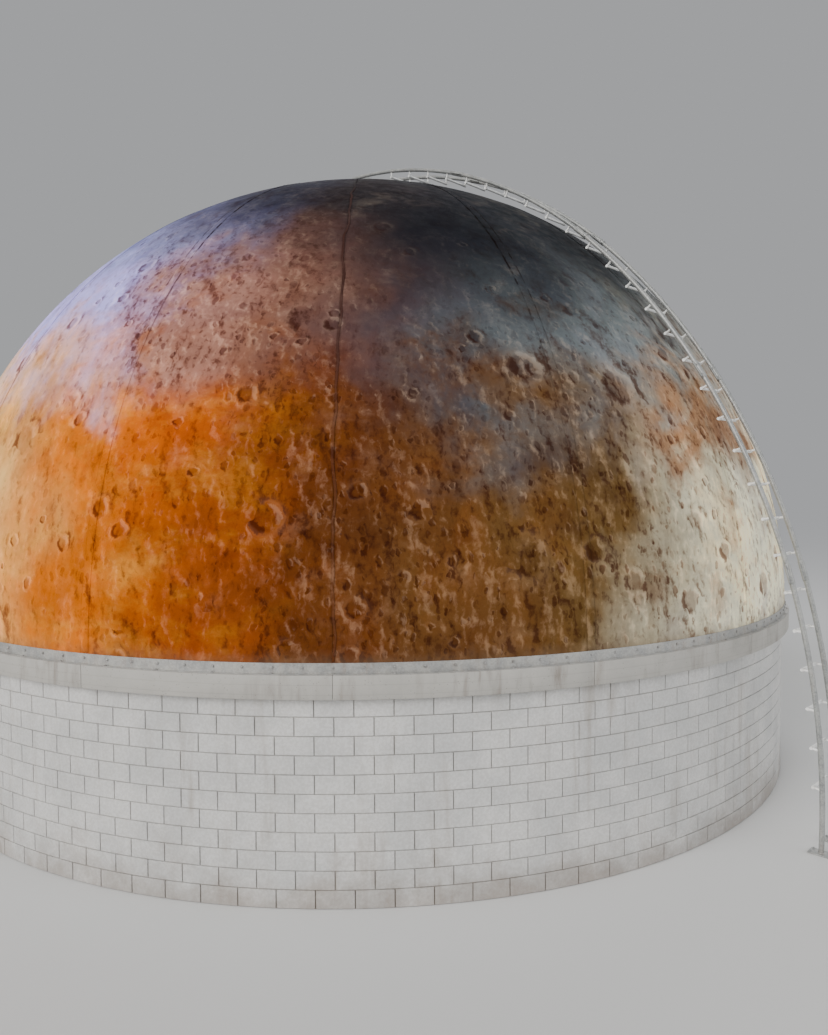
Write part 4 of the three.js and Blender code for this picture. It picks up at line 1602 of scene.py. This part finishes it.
class DOME_OT_ladder(Operator):
    """Makes the curved service ladder in five bolted sections, with its feet"""
    bl_idname = "dome.ladder"
    bl_label = "Service ladder"

    TREADS_PER_SECTION = 6
    LOWEST_TREAD = -14
    HIGHEST_TREAD = 13
    TOP_ELEVATION = 91.2
    RAIL_STEP = 1.0
    HANGER_RADIUS = 0.014
    GROOVES = 11
    GROOVE_DEPTH = 0.0025
    SLEEVE_LENGTH = 0.24
    LUG_SIZE = (0.014, 0.036, 0.22)
    CROSSHEAD_DEPTH = 0.13
    CROSSHEAD_HEIGHT = 0.07
    PLATE_SIZE = (0.16, 0.26, 0.015)

    def rail(self, line, start, end, side, radius):
        """A round tube along the rail line."""
        deselect_all()
        bpy.ops.curve.primitive_nurbs_path_add()
        curve = bpy.context.object.data
        curve.splines.clear()
        steps = max(2, round((end - start) / self.RAIL_STEP))
        spline = curve.splines.new("POLY")
        spline.points.add(steps)
        for i, point in enumerate(spline.points):
            point.co = (*line.point(start + (end - start) * i / steps, side), 1.0)
        curve.dimensions = "3D"
        curve.bevel_depth = radius
        curve.bevel_resolution = 6
        curve.use_fill_caps = True
        bpy.ops.object.convert(target="MESH")
        tube = bpy.context.object
        settle(tube)
        with editing(tube):
            bpy.ops.mesh.remove_doubles(threshold=0.0002)
            bpy.ops.mesh.normals_make_consistent(inside=False)
        tube.data.materials.append(metal("galvanised_ladder_steel"))
        return tube

    def tread_pattern(self, sizes):
        """A grooved tread hung between two welded hangers, with X across and Z away from the shell."""
        reach = sizes.half_width + self.HANGER_RADIUS
        grip = sizes.half_width - 0.05
        ridge = reach / (self.GROOVES + 1)
        tread = rod(sizes.tread_radius, 2 * reach, (0, 0, -sizes.tread_drop), 16, (0, math.pi / 2, 0))

        def in_groove(face):
            x = face.calc_center_median().x
            is_odd = math.floor((x + reach) / ridge) % 2 == 1
            return abs(x) < grip and abs(face.normal.x) < 0.5 and is_odd

        with editing(tread):
            pick(tread, "EDGE", lambda edge: abs((edge.verts[0].co - edge.verts[1].co).x) > 0.1)
            bpy.ops.mesh.subdivide(number_cuts=2 * self.GROOVES + 1)
            pick(tread, "FACE", in_groove)
            bpy.ops.transform.shrink_fatten(value=-self.GROOVE_DEPTH)
        bevel(tread, 0.0015, 1)
        parts = [tread]
        for x in (-sizes.half_width, sizes.half_width):
            parts.append(rod(self.HANGER_RADIUS, sizes.tread_drop, (x, 0, -sizes.tread_drop / 2), 12))
            for height in (-sizes.rail_radius, -sizes.tread_drop + sizes.tread_radius):
                parts.append(weld_bead(self.HANGER_RADIUS, 0.005, (x, 0, height), 14))
        whole = join(parts)
        # Near-white steel, partly a painted highlight
        whole.data.materials.append(metal("bright_tread_steel"))
        return whole

    def sleeve_pattern(self, sizes):
        """A two-part clamp round a rail where two lengths meet, with Z along the rail."""
        sleeve = rod(sizes.rail_radius + 0.006, self.SLEEVE_LENGTH, sides=24)
        bevel(sleeve, 0.003)
        parts = [sleeve]
        for side in (-1, 1):
            lug = block(self.LUG_SIZE, (0, side * (sizes.rail_radius + 0.018), 0))
            bevel(lug, 0.002, 1)
            parts.append(lug)
            spots = [Vector((self.LUG_SIZE[0] / 2, side * (sizes.rail_radius + 0.02), height))
                     for height in (-0.07, 0.07)]
            parts += bolts_at([facing(SIDEWAYS, spot) for spot in spots], 0.009, 0.009)
        return join(parts)

    def crosshead(self, line, sizes):
        """The hollow bar on the post that the two rails are welded to."""
        bar = block((2 * sizes.half_width, self.CROSSHEAD_DEPTH, self.CROSSHEAD_HEIGHT))
        with editing(bar):
            pick(bar, "FACE", lambda face: abs(face.normal.x) > 0.9)
            bpy.ops.mesh.inset(thickness=0.006, use_individual=True)
            bpy.ops.mesh.inset(thickness=0.0, depth=-0.02, use_individual=True)
        bevel(bar, 0.004)
        whole = join([bar] + bolts_at(corners(0.045, 0.04, self.CROSSHEAD_HEIGHT / 2), 0.012, 0.012))
        whole.data.materials.append(metal("galvanised_ladder_steel"))
        whole.matrix_world = line.frame_at(90)
        settle(whole)
        return whole

    def foot(self, line, side, sizes):
        """A base plate with four anchor bolts and a weld round the rail."""
        node = "ladder_foot_left" if side < 0 else "ladder_foot_right"
        top = self.PLATE_SIZE[2]
        spot = line.point(line.foot_elevation(top), side * sizes.half_width)
        plate = block(self.PLATE_SIZE, (0, 0, top / 2))
        bevel(plate, 0.003)
        parts = [plate] + bolts_at(corners(0.055, 0.1, top), 0.011, 0.014)
        parts.append(weld_bead(sizes.rail_radius + 0.002, 0.007, (0, 0, top), 20))
        whole = join(parts)
        whole.matrix_world = facing(UPWARDS, Vector((spot.x, spot.y, 0)), -line.out)
        finish_piece(whole, f"{node}_plate", "ladder_steel", metal("galvanised_ladder_steel"),
                     replaces=[node])

    def execute(self, context):
        sizes = context.scene.dome_ladder
        line = RailLine(sizes.bearing, sizes.tread_pitch)
        pattern = self.tread_pattern(sizes)
        sleeve = self.sleeve_pattern(sizes)
        sleeves = []
        for i, node in enumerate(LADDER_NODES):
            first = self.LOWEST_TREAD + i * self.TREADS_PER_SECTION
            is_last = i == len(LADDER_NODES) - 1
            last = self.HIGHEST_TREAD if is_last else first + self.TREADS_PER_SECTION - 1
            start = line.foot_elevation(-0.06) if i == 0 else line.tread_elevation(first - 0.5)
            end = self.TOP_ELEVATION if is_last else line.tread_elevation(last + 0.5)
            parts = []
            for x in (-sizes.half_width, sizes.half_width):
                tube = self.rail(line, start, end, x, sizes.rail_radius)
                if i == 0:
                    with editing(tube):
                        bpy.ops.mesh.bisect(plane_co=(0, 0, self.PLATE_SIZE[2]), plane_no=(0, 0, 1),
                                            use_fill=True, clear_inner=True)
                parts.append(tube)
                if not is_last:
                    sleeves.append(copy_placed(sleeve, line.along_at(end, x)))
            for k in range(first, last + 1):
                parts.append(copy_placed(pattern, line.frame_at(line.tread_elevation(k))))
            if is_last:
                parts.append(self.crosshead(line, sizes))
            finish_piece(join(parts), f"{node}_tubes", "ladder_steel", metal("galvanised_ladder_steel"),
                         metal("bright_tread_steel"), replaces=[node])
        finish_piece(join(sleeves), "ladder_sleeves", "ladder_steel", metal("galvanised_ladder_steel"))
        discard(pattern, sleeve)
        for side in (-1, 1):
            self.foot(line, side, sizes)
        return {"FINISHED"}


class DOME_OT_frame_finishes(Operator):
    """Gives the CAD pieces that stay their own materials"""
    bl_idname = "dome.frame_finishes"
    bl_label = "Finishes of the frame"

    def execute(self, context):
        finishes = {node: wall_paint("painted_mortar") for node in WALL_NODES}
        finishes["door_lintel"] = beam_concrete()
        finishes["door_frame"] = metal("door_frame_paint")
        for node, material in finishes.items():
            slots = frame["nodes"][node].material_slots
            if not slots:
                frame["nodes"][node].data.materials.append(material)
            for slot in slots:
                slot.material = material
        return {"FINISHED"}


class DOME_OT_stage(Operator):
    """Makes the floor, the soft lights and the camera"""
    bl_idname = "dome.stage"
    bl_label = "Stage"

    CAMERA_PLACE = (0.81, -14.86, 4.25)
    CAMERA_PITCH = -2.2
    CAMERA_ROLL = -0.3
    CAMERA_LENS = 27.83
    SENSOR = 36.0
    VIEW_REACH = 1000
    FLOOR_SIZE = 400.0

    # Each soft light's place, its spread in degrees, its strength and its tint
    LIGHTS = {
        "key_light": ((-18, -17, 12), 40, 2.8, (1.0, 0.98, 0.96)),
        "fill_light": ((22, -12, 8), 50, 1.35, (0.97, 0.98, 1.0)),
        "back_light": ((4, 22, 12), 50, 1.0, (1.0, 1.0, 1.0)),
    }

    def execute(self, context):
        deselect_all()
        bpy.ops.mesh.primitive_plane_add(size=self.FLOOR_SIZE, location=(0, 0, -0.002))
        floor = context.object
        settle(floor)
        floor.name = "studio_floor"
        floor.data.materials.append(floor_paint())

        for name, (place, softness, strength, tint) in self.LIGHTS.items():
            deselect_all()
            bpy.ops.object.light_add(type="SUN", location=place)
            lamp = context.object
            lamp.name = name
            lamp.data.angle = math.radians(softness)
            lamp.data.energy = strength
            lamp.data.color = tint
            lamp.rotation_euler = (-Vector(place)).to_track_quat("-Z", "Y").to_euler()

        world = context.scene.world or bpy.data.worlds.new("studio_air")
        context.scene.world = world
        world.use_nodes = True
        background = world.node_tree.nodes["Background"]
        background.inputs["Color"].default_value = (*STUDIO_AIR, 1)
        background.inputs["Strength"].default_value = STUDIO_AIR_STRENGTH

        deselect_all()
        bpy.ops.object.camera_add(location=self.CAMERA_PLACE)
        camera = context.object
        camera.name = "photograph_camera"
        tilt = Matrix.Rotation(math.radians(90 + self.CAMERA_PITCH), 4, "X")
        camera.matrix_world = Matrix.Translation(self.CAMERA_PLACE) @ tilt @ turned(self.CAMERA_ROLL)
        camera.data.sensor_fit = "AUTO"
        camera.data.sensor_width = self.SENSOR
        camera.data.lens = self.CAMERA_LENS
        camera.data.clip_end = self.VIEW_REACH
        context.scene.camera = camera
        return {"FINISHED"}


OPERATORS = [
    DOME_OT_stage,
    DOME_OT_frame_finishes,
    DOME_OT_shell_gores,
    DOME_OT_seam_seals,
    DOME_OT_seam_strips,
    DOME_OT_crown,
    DOME_OT_shell_foot,
    DOME_OT_ring_beam,
    DOME_OT_block_wall,
    DOME_OT_doorway,
    DOME_OT_ladder,
]


class DOME_PT_panel(Panel):
    """Lists the sizes, the colours and the operators"""
    bl_idname = "DOME_PT_panel"
    bl_label = "Observatory Dome"
    bl_space_type = "VIEW_3D"
    bl_region_type = "UI"
    bl_category = "Dome"

    def draw(self, context):
        for name in PROPERTY_GROUPS:
            box = self.layout.box()
            group = getattr(context.scene, name)
            for field in group.__annotations__:
                box.prop(group, field)
        for operator in OPERATORS:
            self.layout.operator(operator.bl_idname)


def register():
    for name, group in PROPERTY_GROUPS.items():
        bpy.utils.register_class(group)
        setattr(bpy.types.Scene, name, PointerProperty(type=group))
    for operator in OPERATORS:
        bpy.utils.register_class(operator)
    bpy.utils.register_class(DOME_PT_panel)


def unregister():
    bpy.utils.unregister_class(DOME_PT_panel)
    for operator in reversed(OPERATORS):
        bpy.utils.unregister_class(operator)
    for name, group in PROPERTY_GROUPS.items():
        delattr(bpy.types.Scene, name)
        bpy.utils.unregister_class(group)


def main():
    register()
    for operator in OPERATORS:
        family, call = operator.bl_idname.split(".")
        result = getattr(getattr(bpy.ops, family), call)()
        if "FINISHED" not in result:
            raise RuntimeError(f"{operator.bl_label} was not finished")


if __name__ == "__main__":
    main()
